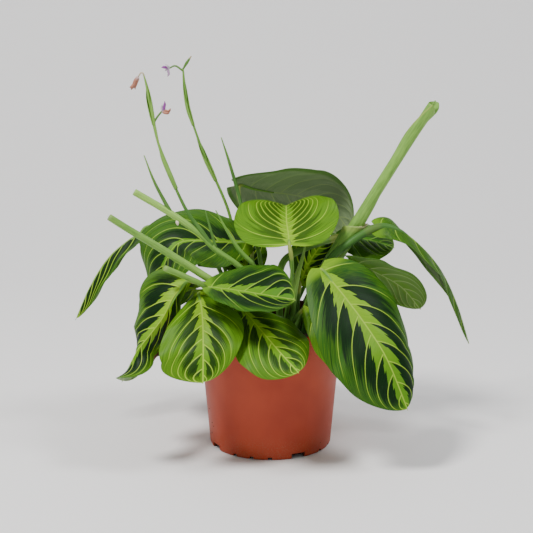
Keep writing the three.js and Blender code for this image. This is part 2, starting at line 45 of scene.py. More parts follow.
# root: where the stalk leaves the soil. stalk: points on the way to the blade. rib: points along the midrib.
# face: the way the upper side looks, base to tip. width: the blade's widest. left and right: rows of fold and
# curl in degrees and of how much wider than usual it is there, base to tip. broad: where the blade is widest,
# above 1 nearer the tip. blunt: under 0.5 square at the base, over it pointed. cusp: half the tip's width.
# sweep and lobe: how far the edges go towards the tip and back past the base. wave: the edge's ripple. nicks:
# tears in the edge as [side, place, length, depth]. stalkRadius: at the soil and at the blade. stalkLook:
# the stalk's material, its darker one standing for painted shade on a stalk that lies in shade.
# slant: how far the veins lean to the tip. veins: how many a side. band: half the lime band as a share of the
# half blade. reach and dark: how far out the dark blotches go, and how dark they are.
# lime: how yellow the lines and the band are. margin: how light the green is. olive: how green the lower side
# is. dry: where the dry tip starts, as a share of the midrib
leafUsual = dict(
    left=[[10, -30]], right=[[10, -30]], broad=1.15, blunt=0.38, lobe=4, sweep=[0, 0], cusp=1.2, wave=1,
    nicks=[], stalkRadius=[2.2, 1.4], stalkLook="look_stalk", slant=1, veins=7, band=0.18, reach=0.7,
    dark=0.9, lime=0.4, margin=0.25, olive=0, dry=2,
)
leafShapes = [
    dict(name="front_right", root=[22, -15], stalk=[[32, -28, 136]], width=76,
         rib=[[39, -40, 158], [57, -56, 140], [76, -71, 117], [91, -82, 94], [107, -87, 55]],
         face=[[0, -0.5, 0.85], [0.25, -0.9, 0.35]],
         left=[[10, -16, 1.4], [6, -40, 1.12], [0, -64, 0.95], [-4, -60, 1.15]],
         right=[[10, -30, 1.1], [10, -28, 1.22], [10, -30, 1.1], [10, -30, 0.95]], broad=1.05, sweep=[0, 12],
         wave=1.4, nicks=[[-1, 0.84, 0.02, 0.1], [-1, 0.92, 0.018, 0.22], [-1, 0.965, 0.012, 0.2]],
         veins=7.6, band=0.2, reach=0.74, dark=1, lime=0.36, margin=0),
    dict(name="front_middle", root=[0, -24], stalk=[[-12, -30, 116]], width=62,
         rib=[[-24, -36, 125], [-10, -58, 115], [7, -80, 101], [22, -94, 88]],
         face=[[0, -0.3, 0.95], [0.3, -0.6, 0.7]], left=[[8, -30, 1.1], [8, -30, 1.04], [8, -30, 1.14]],
         right=[[0, -30]], blunt=0.5, lobe=2, sweep=[0, 8], cusp=2.2, veins=6.6, band=0.15, reach=0.5,
         dark=0.75, lime=0.6, margin=0.5),
    dict(name="front_left", root=[-27, -13], stalk=[[-41, -31, 124]], width=64,
         rib=[[-56, -44, 140], [-53, -68, 123], [-52, -86, 104], [-52, -96, 80]],
         face=[[0, -0.4, 0.9], [0, -0.85, 0.5]], left=[[-8, -12, 1.1], [6, -18, 1], [8, -18, 0.92]],
         right=[[-14, -12, 1.25], [6, -20, 1.08], [8, -20, 1.08], [8, -20, 1.6]], blunt=0.62, lobe=0,
         sweep=[-4, 12], cusp=2.2, veins=6.8, band=0.16, reach=0.55, dark=0.85, lime=0.75, margin=0.65),
    dict(name="middle_dark", root=[-13, -21], stalk=[[-23, -28, 115], [-31, -37, 130], [-40, -50, 143]],
         width=56, rib=[[-49, -60, 148], [-25, -64, 146], [-4, -66, 143], [20, -64, 138]],
         face=[[0, -0.3, 0.95], [0.1, -0.4, 0.9]],
         left=[[16, -12, 1.1], [16, -12, 1.05], [16, -12, 1.2], [16, -12, 1.9]],
         right=[[12, -12, 1.1], [12, -12, 1.1], [12, -12, 0.95], [12, -12, 0.55]], cusp=2, veins=5.4,
         band=0.2, reach=0.85, dark=0.95, lime=0.25, margin=0.05),
    dict(name="top", root=[11, -8], stalk=[[17, -30, 150]], width=86,
         rib=[[15, -38, 176], [14, -16, 181], [13, 6, 185], [13, 28, 189], [13, 46, 189]],
         face=[[0, -0.4, 0.9], [0, 0.2, 0.95]], left=[[-6, -10], [6, -18], [20, -12], [26, -8]],
         right=[[-6, -10], [10, -6], [23, -4], [30, -6]], broad=1, blunt=0.42, lobe=0, sweep=[-6, 0],
         veins=10.5, band=0.15, reach=0.6, dark=0.6, lime=0.8, margin=0.7),
    dict(name="back_tall", root=[-6, 12], stalk=[[-8, 13, 146], [-13, 20, 166], [-24, 29, 193]], width=78,
         rib=[[-27, 38, 208], [-2, 50, 200], [25, 58, 194], [49, 60, 185], [68, 52, 164]],
         face=[[-0.2, 0.9, 0.4], [0.5, 0.8, 0.3]], left=[[0, -20]],
         right=[[10, -50, 1], [10, -50, 1], [10, -50, 1.08], [10, -50, 1.12]], lobe=9, veins=8, band=0.2,
         lime=0.2, margin=0.3),
    dict(name="upper_left", root=[-13, 0], stalk=[[-14, 2, 146]], width=78,
         rib=[[-17, 5, 167], [-39, 4, 168], [-61, 1, 170], [-75, -3, 168], [-84, -8, 156],
             [-90, -10, 137], [-96, -9, 116]],
         face=[[0, -0.35, 0.93], [0, -0.35, 0.93], [-0.5, -0.3, 0.8], [-0.96, -0.22, 0.2]],
         left=[[8, -30], [12, -24], [8, -30]], right=[[22, -25]], broad=0.95, veins=8.5, band=0.07,
         reach=0.5, dark=0.95, lime=0.25, margin=0.08),
    dict(name="left_folded", root=[-26, -6], stalk=[[-48, -28, 134]], width=56,
         rib=[[-63, -49, 151], [-75, -58, 140], [-84, -64, 124], [-95, -68, 110], [-106, -70, 96],
             [-117, -68, 72]],
         face=[[-0.3, -0.75, 0.6], [-0.35, -0.75, 0.55], [-0.45, -0.75, 0.5], [-0.7, -0.6, 0.4],
             [-0.75, 0.3, 0.5], [-0.1, 0.95, 0.3]],
         left=[[-95, -10, 0.6], [-88, -10, 0.9], [-80, -10, 0.6], [-10, -10, 1.5]],
         right=[[2, -32, 2], [2, -32, 1.25], [2, -32, 1], [0, -20, 1]], broad=0.85, blunt=0.34, lobe=2,
         veins=8, reach=0.75, dark=1, lime=0.45, margin=0.3),
    dict(name="left_low", root=[-28, 4], stalk=[[-52, -12, 114]], width=30,
         rib=[[-70, -22, 113], [-85, -28, 98], [-97, -32, 88], [-106, -34, 75]],
         face=[[-0.3, -0.5, 0.8], [-0.5, -0.7, 0.5]], left=[[8, -30]], right=[[8, -30]], broad=0.7, wave=3,
         veins=6, band=0.2, reach=0.6, lime=0.1, margin=0.1, dry=0.62),
    dict(name="far_left", root=[-22, 16], stalk=[[-56, 32, 160]], width=22,
         rib=[[-97, 36, 175], [-116, 31, 164], [-134, 25, 149], [-149, 19, 126], [-161, 14, 99]],
         face=[[-0.3, 0.3, 0.9], [-0.7, 0.2, 0.7]], left=[[-70, 10]], right=[[-70, 10]], slant=3, veins=8,
         band=0.1, reach=0.85, dark=0.95, lime=0.3, margin=0.08),
    dict(name="far_right", root=[27, -2], stalk=[[44, -6, 149], [64, -3, 169]], stalkRadius=[3.4, 3.2],
         stalkLook="look_stalk_dark", width=28,
         rib=[[85, 2, 181], [100, 2, 181], [119, 2, 168], [138, 2, 146], [152, 2, 117], [163, 2, 82]],
         face=[[0, -0.85, 0.5], [0.6, 0.4, 0.7], [0.3, 0.9, 0.2], [0.3, 0.9, 0.2], [0.3, 0.9, 0.2]],
         left=[[0, -20, 1], [-15, -20, 0.8], [-62, -10, 0.6], [-76, 0, 0.8]],
         right=[[0, 0], [-60, 0], [-95, 4], [-95, 4]], broad=0.65, band=0.1, reach=0.8, dark=0.15, lime=0.25,
         margin=0.12),
    dict(name="right_turned", root=[33, 3], stalk=[[52, -4, 143]], width=54,
         rib=[[63, -4, 156], [85, -8, 146], [106, -10, 134], [122, -10, 115]],
         face=[[0.2, 0.6, 0.75], [0.3, 0.6, 0.7]], left=[[8, -30]],
         right=[[8, -30, 1.1], [8, -30, 1.35], [8, -30, 1.3], [8, -30, 1.1]], cusp=3.6, band=0.2, reach=0.8,
         dark=1, lime=0.5, margin=0.3, olive=1),
    dict(name="right_back", root=[8, 6], stalk=[[8, -8, 148], [24, 4, 161]], stalkRadius=[3, 2.8], width=52,
         rib=[[57, 26, 168], [75, 24, 166], [90, 22, 163], [102, 20, 159]],
         face=[[0, -0.4, 0.9], [0.2, -0.4, 0.9]], left=[[8, -30]], right=[[8, -30]], veins=6, band=0.08,
         reach=0.5, dark=0.5, lime=0.05, margin=0.15),
    dict(name="right_low", root=[12, -24], stalk=[[22, -35, 118]], width=34,
         rib=[[30, -45, 127], [44, -57, 110], [58, -64, 92], [68, -65, 72]],
         face=[[0.2, -0.6, 0.75], [0.4, -0.8, 0.4]], left=[[8, -30]], right=[[5, -44]], veins=6, band=0.2,
         reach=0.5, dark=0.7, lime=0.5, margin=0.5),
    dict(name="rear_left", root=[-26, 24], stalk=[[-38, 34, 138]], width=54,
         rib=[[-46, 42, 148], [-62, 56, 145], [-76, 68, 132], [-86, 76, 112]],
         face=[[-0.3, 0, 0.95], [-0.6, 0.35, 0.6]], blunt=0.3, lobe=12),
    dict(name="rear_left_low", root=[-34, 14], stalk=[[-54, 18, 116]], width=46,
         rib=[[-62, 20, 124], [-78, 26, 118], [-92, 32, 101], [-100, 36, 80]],
         face=[[-0.3, -0.35, 0.9], [-0.75, -0.1, 0.6]], blunt=0.3, lobe=14),
    dict(name="rear_middle", root=[-8, 33], stalk=[[-10, 44, 116]], width=62,
         rib=[[-12, 52, 124], [-14, 74, 120], [-15, 92, 104], [-16, 102, 82]],
         face=[[0, 0.3, 0.95], [0, 0.85, 0.5]]),
    dict(name="rear_right", root=[16, 28], stalk=[[32, 40, 128]], width=54,
         rib=[[40, 48, 138], [56, 62, 134], [70, 73, 119], [80, 80, 97]],
         face=[[0.2, 0.3, 0.9], [0.5, 0.7, 0.5]]),
    dict(name="rear_right_low", root=[34, 16], stalk=[[54, 22, 114]], width=44,
         rib=[[62, 24, 121], [78, 29, 113], [90, 34, 97], [97, 38, 78]],
         face=[[0.3, 0.1, 0.9], [0.8, 0.2, 0.5]]),
    dict(name="inner_left", root=[-12, 24], stalk=[[-17, 32, 112]], width=38,
         rib=[[-20, 38, 126], [-21, 41, 142], [-21, 44, 155], [-22, 47, 166]],
         face=[[0.1, -0.9, 0.3], [0, -0.8, 0.6]]),
    dict(name="inner_right", root=[22, 18], stalk=[[23, 26, 114]], width=40,
         rib=[[25, 31, 128], [32, 35, 142], [40, 38, 154], [50, 41, 164]],
         face=[[0.1, -0.85, 0.4], [0.2, -0.8, 0.6]]),
]

# the tubes of each shoot. radii and light, how much paler the skin is, stand at even steps along the path.
# dry: the share of the path from where it dries, where it is fully dry, and how much it shows
shootTubes = {
    "leaf_rolled": [
        dict(path=[[20, 6, 70], [20, 6, 94], [42, 5, 135], [56, 6, 159], [73, 8, 184], [92, 10, 220],
                 [112, 12, 252], [132, 14, 282]],
             radii=[2.8, 3, 3.6, 4.2, 3, 0.6]),
    ],
    "stem_cut_long": [
        dict(path=[[-13, -8, 70], [-13, -8, 94], [-29, -30, 136], [-46, -42, 148], [-63, -49, 161],
                 [-86, -56, 178], [-109, -62, 194], [-124, -66, 205]],
             radii=[2.2, 2.6, 3, 3, 3, 2.8, 2.6], light=[0, 0, 0, 0.3, 0.6, 0.4, 0.1, 0, 0],
             dry=[0.985, 0.9925, 0.12]),
    ],
    "stem_cut_short": [
        dict(path=[[-20, -12, 70], [-20, -12, 94], [-38, -38, 132], [-51, -48, 145], [-66, -57, 155],
                 [-82, -64, 164]],
             radii=[2, 2.2, 2.3, 2.3], dry=[0.98, 0.99, 0.12]),
    ],
    "shoot_flowering_left": [
        dict(path=[[4, -15, 70], [4, -15, 94], [-8, -26, 136], [-24, -35, 157], [-44, -39, 173],
                 [-55, -40, 185], [-79, -42, 203], [-106, -44, 220]],
             radii=[2, 2.2, 2.3, 2.3, 2.3, 2.7, 2.7], light=[0, 0, 0, 0, 0.1, 0.8, 0.9]),
        dict(path=[[-77, -42, 201], [-90, -43, 227], [-98, -44, 249]], radii=[1.8, 1.2, 0.4], light=[0.6]),
        dict(path=[[-46, -40, 176], [-55, -41, 189], [-62, -41, 200]], radii=[1.4, 2, 0.4], light=[0.4]),
        dict(path=[[-43, -39, 174], [-48, -39, 192], [-51, -39, 204]], radii=[1.2, 1, 0.4], light=[0.5]),
        dict(path=[[-50, -40, 181], [-63, -41, 200], [-70, -40, 213], [-80, -38, 236], [-86, -36, 252],
                 [-91, -34, 274], [-97, -32, 306], [-99.5, -32, 311.5], [-102.5, -32, 308]],
             radii=[1.5, 1.5, 1.3, 1.1, 1.3, 0.9, 1.3, 1, 0.8, 0.5], light=[-0.1, -0.1, 0.2, 0.3, 0.3, 0.2],
             dry=[0.93, 0.965, 1]),
        dict(path=[[-91, -34, 272], [-88, -34, 277], [-84, -34, 282]], radii=[0.9, 0.8, 0.7], light=[0.8]),
    ],
    "shoot_middle": [
        dict(path=[[-2, -10, 70], [-2, -10, 94], [-6, -22, 140], [-14, -30, 158], [-24, -34, 170],
                 [-32, -36, 183], [-43, -38, 204]],
             radii=[1.7, 1.7, 1.8, 1.8, 0.4]),
    ],
    "shoot_flowering_back": [
        dict(path=[[-18, 24, 70], [-18, 24, 94], [-28, 38, 150], [-35, 42, 186], [-54, 41, 232],
                 [-64, 40, 261], [-68, 40, 277], [-71, 40, 304]],
             radii=[1.7, 1.6, 1.5, 1.3, 1.2, 1, 0.9, 0.8]),
        dict(path=[[-71, 40, 303], [-68, 40, 308], [-64, 40, 314]], radii=[0.7, 1.3, 0.5], light=[1],
             dry=[0.75, 0.875, 0.8]),
        dict(path=[[-71, 40, 302], [-77, 40, 306], [-82, 40, 304]], radii=[0.8, 0.8, 0.6], light=[1]),
    ],
    "shoot_small": [
        dict(path=[[17, -14, 70], [17, -14, 94], [20, -15, 136], [26, -12, 160], [29, -10, 174]],
             radii=[1.4, 1.8, 2.6, 0.4], light=[0, 0, 0, 0.4, 0.7, 0.6]),
    ],
}


# a smooth curve through points (Catmull-Rom, ends mirrored), as a fine polyline with its share of length
def curveThrough(points, samples=400):
    known = np.array(points, dtype=float)
    known = np.vstack([2 * known[0] - known[1], known, 2 * known[-1] - known[-2]])
    place = np.linspace(0, len(points) - 1, samples)
    start = np.minimum(place.astype(int), len(points) - 2)
    step = (place - start)[:, None]
    before, here, there, after = (known[start + k] for k in range(4))
    leave, arrive = (there - before) / 2, (after - here) / 2
    fine = (
        here
        + leave * step
        + (3 * (there - here) - 2 * leave - arrive) * step**2
        + (2 * (here - there) + leave + arrive) * step**3
    )
    length = np.concatenate([[0], np.cumsum(np.linalg.norm(np.diff(fine, axis=0), axis=1))])
    share = length / length[-1]
    knots = np.interp(np.arange(len(points)), place, share)
    return dict(points=fine, share=share, length=length[-1], knots=knots)


# the points of a curve at shares t of its length
def pointsOn(curve, t):
    return np.stack([np.interp(t, curve["share"], curve["points"][:, k]) for k in range(3)], axis=-1)


def unit(vectors):
    return vectors / np.maximum(np.linalg.norm(vectors, axis=-1, keepdims=True), 1e-9)


# the way along a curve, from a point just before t to one just after it
def tangentsOn(curve, t, reach=0.004):
    return unit(pointsOn(curve, np.clip(t + reach, 0, 1)) - pointsOn(curve, np.clip(t - reach, 0, 1)))


# values at shares t along a list of evenly spaced keys: numbers, or rows of them
def keysAt(keys, t):
    return np.interp(t, np.linspace(0, 1, len(keys)), keys)


def rowsAt(keys, t):
    return np.stack([keysAt(column, t) for column in np.transpose(keys)], axis=-1)


# the way up from a rib at t, square to it
def upFrom(leaf, t, along):
    face = rowsAt(leaf["face"], t)
    return unit(face - along * np.sum(face * along, axis=-1, keepdims=True))


# 0 up to low, 1 from high on, and 3x^2 - 2x^3 between them
def smoothStep(value, low, high):
    x = np.clip((value - low) / (high - low), 0, 1)
    return x * x * (3 - 2 * x)


# grids or numbers as the channels of one array
def stacked(*values):
    return np.stack(np.broadcast_arrays(*values), axis=-1)


# faces of a closed form turned to look outwards, by the sign of its volume
def facingOut(points, faces):
    fans = np.array([[face[0], face[k], face[k + 1]] for face in faces for k in range(1, len(face) - 1)])
    a, b, c = points[fans[:, 0]], points[fans[:, 1]], points[fans[:, 2]]
    return faces if np.sum(a * np.cross(b, c)) > 0 else [face[::-1] for face in faces]


def newObject(name, points, faces):
    mesh = bpy.data.meshes.new(name)
    mesh.from_pydata((points * mm).tolist(), [], faces)
    made = bpy.data.objects.new(name, mesh)
    scene.collection.objects.link(made)
    return made


# a piece from a mesh in mm: its points, its faces and its point attributes, given as vectors
def addPiece(name, mesh, material, slot, node):
    points, faces, attributes = mesh
    piece = newObject(name, points, facingOut(points, faces))
    for key, values in attributes.items():
        layer = piece.data.attributes.new(key, "FLOAT_VECTOR", "POINT")
        layer.data.foreach_set("vector", np.asarray(values, dtype=np.float32).ravel())
    piece.data.polygons.foreach_set("use_smooth", [True] * len(faces))
    piece.data.update()
    piece.data.validate()
    piece.data.materials.append(material)
    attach(piece, "root")
    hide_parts(node)
    return piece


# several closed meshes as one
def joinMeshes(parts):
    faces, offset = [], 0
    for part in parts:
        faces += [[k + offset for k in face] for face in part[1]]
        offset += len(part[0])
    attributes = {key: np.vstack([part[2][key].reshape(-1, 3) for part in parts]) for key in parts[0][2]}
    return np.vstack([part[0] for part in parts]), faces, attributes


# faces of rings of size points each, joined one after another and closed at both ends by a pole
def ringFaces(rings, size):
    around = np.arange(size)
    onward = (around + 1) % size
    ring = np.arange(rings - 1)[:, None] * size
    quads = stacked(ring + around, ring + onward, ring + size + onward, ring + size + around).reshape(-1, 4)
    last, pole = (rings - 1) * size, rings * size
    low, high = stacked(pole, onward, around), stacked(last + around, last + onward, pole + 1)
    return quads.tolist() + low.tolist() + high.tolist()


# a closed round tube: rings round a curve, radius given at each share of its length. Strand holds the
# cosine and sine of the place round it and the length along it, marks holds what the caller gives
def tubeMesh(curve, radiusAt, markAt, sides=16, pitch=1.4):
    rings = max(int(curve["length"] / pitch), 6)
    t = np.linspace(0, 1, rings)
    centre, along = pointsOn(curve, t), tangentsOn(curve, t)
    least = np.linalg.svd(along, full_matrices=False)[2][-1]
    across = unit(least - along * (along @ least)[:, None])
    other = np.cross(along, across)
    angle = np.linspace(0, 2 * np.pi, sides, endpoint=False)
    x, y, length = np.cos(angle)[None, :], np.sin(angle)[None, :], curve["length"]
    ring = across[:, None] * x[..., None] + other[:, None] * y[..., None]
    points = (centre[:, None] + ring * radiusAt(t)[:, None, None]).reshape(-1, 3)
    strand = stacked(x, y, (t * length)[:, None]).reshape(-1, 3)
    marks = np.repeat(markAt(t), sides, axis=0)
    attributes = dict(
        strand=np.vstack([strand, [0, 0, 0], [0, 0, length]]),
        marks=np.vstack([marks, marks[:1], marks[-1:]]),
    )
    return np.vstack([points, centre[:1], centre[-1:]]), ringFaces(rings, sides), attributes


# a thin sheet rolled round a part of a curve, closed all round: u runs across it and v along it. angle and
# radius are functions of (v, u), in degrees and mm, 0 degrees looking to the front. top gives how far along
# the part each line of u reaches, rim thins the sheet towards its border
def sheetMesh(curve, part, angle, radius, top, markAt, thickness, rows, columns):
    v, u = np.broadcast_arrays(np.linspace(0, 1, rows)[:, None], np.linspace(0, 1, columns)[None, :])
    place = part[0] + (part[1] - part[0]) * v * top(u)
    middle, along = pointsOn(curve, place), tangentsOn(curve, place)
    front = np.array([0.0, -1.0, 0.0])
    first = unit(front - along * (along @ front)[..., None])
    turn = np.radians(angle(v, u))[..., None]
    way = first * np.cos(turn) + np.cross(along, first) * np.sin(turn)
    far = radius(v, u)[..., None]
    rim = np.minimum(np.minimum(u, 1 - u) * columns / 2, np.minimum(1, (1 - v) * rows / 2))
    thick = (thickness * np.sqrt(np.clip(rim, 0.06, 1)))[..., None]
    points = np.stack([middle + way * far, middle + way * (far - thick)])
    grid = np.arange(rows * columns).reshape(rows, columns)
    quads = np.stack([grid[:-1, :-1], grid[:-1, 1:], grid[1:, 1:], grid[1:, :-1]], axis=-1).reshape(-1, 4)
    border = np.concatenate([grid[0, :-1], grid[:-1, -1], grid[-1, :0:-1], grid[:0:-1, 0]])
    onward, under = np.roll(border, -1), rows * columns
    sides = stacked(onward, border, border + under, onward + under)
    strand = stacked(np.cos(turn[..., 0]), np.sin(turn[..., 0]), place * curve["length"])
    attributes = dict(strand=np.stack([strand] * 2), marks=np.stack([markAt(v, u)] * 2))
    faces = quads.tolist() + (quads[:, ::-1] + under).tolist() + sides.tolist()
    return points.reshape(-1, 3), faces, attributes


# rows along a blade and columns over half of it. groove and quilt: how deep the veins lie and how high the
# skin stands between them. firstVein: how far before the base the first vein starts, as a share of a cell
bladeDetail = dict(rows=150, half=44, thickness=0.5, groove=0.28, quilt=0.42, firstVein=0.2)


# half the blade's width in mm at t, a sine moved by broad and squared by blunt, with a small point at the tip
def halfWidth(leaf, t):
    body = np.clip(t / 0.98, 0, 1)
    along = np.maximum(np.sin(np.pi * body ** leaf["broad"]), 0)
    power = leaf["blunt"] * (1 - body) + 0.55 * body
    point = leaf["cusp"] * np.clip((1 - t) / 0.05, 0, 1) ** 1.4 * (t > 0.9)
    return np.maximum(leaf["width"] / 2 * along**power, point)


# the share of the midrib where the vein through (t, share) leaves it: each vein is followed outwards, its
# way along the rib growing with the cotangent of its angle, and the table is read backwards
def veinOrigin(leaf, t, share, ribLength):
    samples = np.linspace(0, 1, 200)
    width = halfWidth(leaf, samples)
    start = np.linspace(-0.12, 1, 220)
    fan = 0.3 + 0.7 * smoothStep(start, -0.02, 0.3)
    place, column = start.copy(), np.zeros(len(start))
    origin = np.empty((len(t), len(share)))
    for k, a in enumerate(share):
        here = np.interp(np.clip(place, 0, 1), samples, width) / ribLength
        cotangent = fan * leaf["slant"] * (0.75 + 2.3 * a**1.7)
        column = column + (a - (share[k - 1] if k else 0)) * cotangent * np.maximum(here, 0.02)
        place = np.maximum.accumulate(start + column + np.arange(len(start)) * 1e-6)
        origin[:, k] = np.interp(t, place, start)
    return origin


# the blade as one closed skin: each ring runs over the upper side from the left edge to the right one and
# back under it. A point is the rib's point, moved out and up by the fold and curl of its half: the half is an
# arc whose slope goes from fold to fold + curl, and the skin is quilted between the veins
def bladeMesh(leaf):
    rib = curveThrough(leaf["rib"])
    half = bladeDetail["half"]
    even = np.linspace(0, 1, bladeDetail["rows"] + 1)
    t = (0.35 * even + 0.65 * (0.5 - 0.5 * np.cos(np.pi * even)))[1:-1]
    share = 1 - (1 - np.linspace(0, 1, half + 1)) ** 1.3
    point, along = pointsOn(rib, t), tangentsOn(rib, t)
    normal = upFrom(leaf, t, along)
    side = np.cross(along, normal)
    reach = halfWidth(leaf, t)
    slopeWidth = np.gradient(reach, t)
    origin = veinOrigin(leaf, t, share, rib["length"])
    a, tt = share[None, :], t[:, None]
    sides = []
    for sign, keys, sweep, shift, moved in ((-1, "left", 0, 1.0, 0), (1, "right", 1, 2.5, 0.4)):
        fold, curl, spread = np.split(rowsAt([[*key, 1][:3] for key in leaf[keys]], t), 3, axis=1)
        slope, turn = np.radians(fold), np.radians(curl)
        turn = np.where(np.abs(turn) < 1e-4, 1e-4, turn)
        here = reach[:, None] * spread
        for nickSide, place, length, depth in leaf["nicks"]:
            if nickSide == sign:
                here = here * (1 - depth * np.exp(-((tt - place) / length) ** 2) * a**6)
        tilt = slope + turn * a
        out = here * (np.sin(tilt) - np.sin(slope)) / turn
        ripple = leaf["wave"] * a**2 * np.sin(np.pi * tt) * np.sin(6 * np.pi * tt + shift)
        lift = here * (np.cos(slope) - np.cos(tilt)) / turn + ripple
        slide = a**2 * (leaf["sweep"][sweep] * np.sin(np.pi * tt) - leaf["lobe"] * np.exp(-tt / 0.06))
        # the vein's number, and from its slope along and across the blade the mm from one vein to the next
        phase = leaf["veins"] * origin - bladeDetail["firstVein"] + 1 + moved
        byRow, byShare = np.gradient(phase, t, axis=0), np.gradient(phase, share, axis=1)
        inward = byShare / np.maximum(reach, 1)[:, None]
        forward = (byRow - byShare * a * (slopeWidth / np.maximum(reach, 1))[:, None]) / rib["length"]
        scale = np.clip(1 / np.maximum(np.hypot(inward, forward), 1e-3), 0.5, 40)
        gap = np.abs((phase + 0.5) % 1 - 0.5) * scale
        quilt = bladeDetail["quilt"] * np.sin(np.pi * (phase % 1)) ** 2
        relief = quilt - bladeDetail["groove"] * np.exp(-((gap / 0.7) ** 2))
        relief = relief * smoothStep(a, 0.04, 0.15) * (1 - smoothStep(a, 0.75, 0.97))
        relief = relief * smoothStep(tt, 0, 0.06) * (1 - smoothStep(tt, 0.9, 1))
        upward = normal[:, None] * np.cos(tilt)[..., None] - sign * side[:, None] * np.sin(tilt)[..., None]
        where = (
            point[:, None]
            + side[:, None] * (sign * out)[..., None]
            + normal[:, None] * lift[..., None]
            + along[:, None] * slide[..., None]
            + upward * relief[..., None]
        )
        spot = stacked(tt, sign * a * reach[:, None], 0)
        sides.append((where, upward, stacked(phase, sign * a, scale), spot))
    # the left half from its edge to the midrib, then the right half from the midrib to its edge
    upper, upward, pattern, spot = (
        np.concatenate([left[:, ::-1], right[:, 1:]], axis=1) for left, right in zip(*sides)
    )
    upward[:, half] = normal
    edge = np.concatenate([share[::-1], share[1:]])
    thickness = bladeDetail["thickness"] * np.sqrt(np.maximum(1 - edge**14, 0))[None, :, None]
    thickness = thickness * np.sqrt(np.clip(np.minimum(t, 1 - t) / 0.01, 0.04, 1))[:, None, None]
    ends = [pointsOn(rib, t[:1] * 0) - normal[:1] * 0.1, pointsOn(rib, t[:1] * 0 + 1)]
    rings = []
    for top, bottom, poles in (
        (upper, upper - upward * thickness, ends),
        (pattern, pattern, pattern[[0, -1], half]),
        (spot, spot + [0, 0, 1], spot[[0, -1], half]),
    ):
        ring = np.concatenate([top, bottom[:, -2:0:-1]], axis=1)
        rings.append(np.vstack([ring.reshape(-1, 3), *np.reshape(poles, (2, 1, 3))]))
    return rings[0], ringFaces(len(t), ring.shape[1]), dict(pattern=rings[1], spot=rings[2])


# the stalk: up from the soil to the blade's base, swollen below it, then on under the midrib and out
def stalkMesh(leaf):
    rib = curveThrough(leaf["rib"])
    thick, thin = leaf["stalkRadius"]
    t = np.array([0.01, 0.14, 0.3])
    below = pointsOn(rib, t) - upFrom(leaf, t, tangentsOn(rib, t)) * np.array([1.5, 1.3, 1.1])[:, None]
    x, y = leaf["root"]
    curve = curveThrough([[x, y, rootBottom], [x, y, soilTop], *leaf["stalk"], *below.tolist()])
    neck, swelling = curve["knots"][-3], 5 / curve["length"]

    # evenly thinner up to the blade and on to its tail, with a bell curve just below the blade
    def radiusAt(u):
        stalk = thick + (thin - thick) * np.minimum(u / neck, 1)
        tail = thin + (0.5 - thin) * np.maximum(u - neck, 0) / (1 - neck)
        return np.where(u < neck, stalk, tail) + 0.35 * np.exp(-(((u - neck + swelling) / swelling) ** 2))

    # marks: yellower on the swelling
    def markAt(u):
        start = smoothStep(u, neck - 2.6 * swelling, neck - 1.9 * swelling)
        return stacked(start * (1 - smoothStep(u, neck, neck + swelling)), 0, 0)

    return tubeMesh(curve, radiusAt, markAt)


# a colour of 0 to 255 as Blender's linear light
def colour(red, green, blue):
    channels = [value / 255 for value in (red, green, blue)]
    return [c / 12.92 if c < 0.04045 else ((c + 0.055) / 1.055) ** 2.4 for c in channels] + [1]


# an output of a shader node. Arithmetic with it adds the Math nodes that it takes
class Value:
    def __init__(self, socket):
        self.socket = socket

    def __add__(self, other):
        return maths("ADD", self, other)

    def __sub__(self, other):
        return maths("SUBTRACT", self, other)

    def __rsub__(self, other):
        return maths("SUBTRACT", other, self)

    def __mul__(self, other):
        return maths("MULTIPLY", self, other)

    def __truediv__(self, other):
        return maths("DIVIDE", self, other)


def put(socket, value):
    if isinstance(value, Value):
        socket.id_data.links.new(value.socket, socket)
    else:
        socket.default_value = value


# an output of a new node, in the given tree or the one that its inputs come from
def fromNode(kind, inputs, output=0, tree=None, **settings):
    tree = tree or next(value.socket.id_data for value in inputs.values() if isinstance(value, Value))
    made = tree.nodes.new(kind)
    for key, value in settings.items():
        setattr(made, key, value)
    for key, value in inputs.items():
        put(made.inputs[key], value)
    return Value(made.outputs[output])


def maths(operation, *values):
    return fromNode("ShaderNodeMath", dict(enumerate(values)), operation=operation)


# start where value is low, end where it is high, and a smooth step between them
def smooth(value, low, high, start=0, end=1):
    inputs = {"Value": value, "From Min": low, "From Max": high, "To Min": start, "To Max": end}
    return fromNode("ShaderNodeMapRange", inputs, interpolation_type="SMOOTHSTEP")


def mixed(share, first, second):
    return fromNode("ShaderNodeMix", {0: share, 6: first, 7: second}, 2, data_type="RGBA")


def xyz(x, y, z=0):
    return fromNode("ShaderNodeCombineXYZ", {0: x, 1: y, 2: z})


def split(vector):
    return [Value(output) for output in fromNode("ShaderNodeSeparateXYZ", {0: vector}).socket.node.outputs]


def noise(vector, scale=1, detail=2):
    return fromNode("ShaderNodeTexNoise", dict(Vector=vector, Scale=scale, Detail=detail), "Fac")


def randomOf(number):
    return fromNode("ShaderNodeTexWhiteNoise", dict(W=number), "Value", noise_dimensions="1D")


def attribute(tree, name):
    return fromNode("ShaderNodeAttribute", {}, "Vector", tree, attribute_name=name)


# a group that turns vectors and numbers into a colour, a roughness and a height: the group, its inputs by
# name and its outputs
def newGroup(name, vectors, numbers):
    tree = bpy.data.node_groups.new(name, "ShaderNodeTree")
    for way, kind, names in (("OUTPUT", "Color", ["Color"]), ("OUTPUT", "Float", ["Roughness", "Height"]),
                             ("INPUT", "Vector", vectors), ("INPUT", "Float", numbers)):
        for item in names:
            tree.interface.new_socket(item, in_out=way, socket_type="NodeSocket" + kind)
    given = {socket.name: Value(socket) for socket in tree.nodes.new("NodeGroupInput").outputs}
    return tree, given, tree.nodes.new("NodeGroupOutput").inputs


def newMaterial(name):
    material = bpy.data.materials.new(name)
    material.use_nodes = True
    return material, material.node_tree, material.node_tree.nodes["Principled BSDF"]


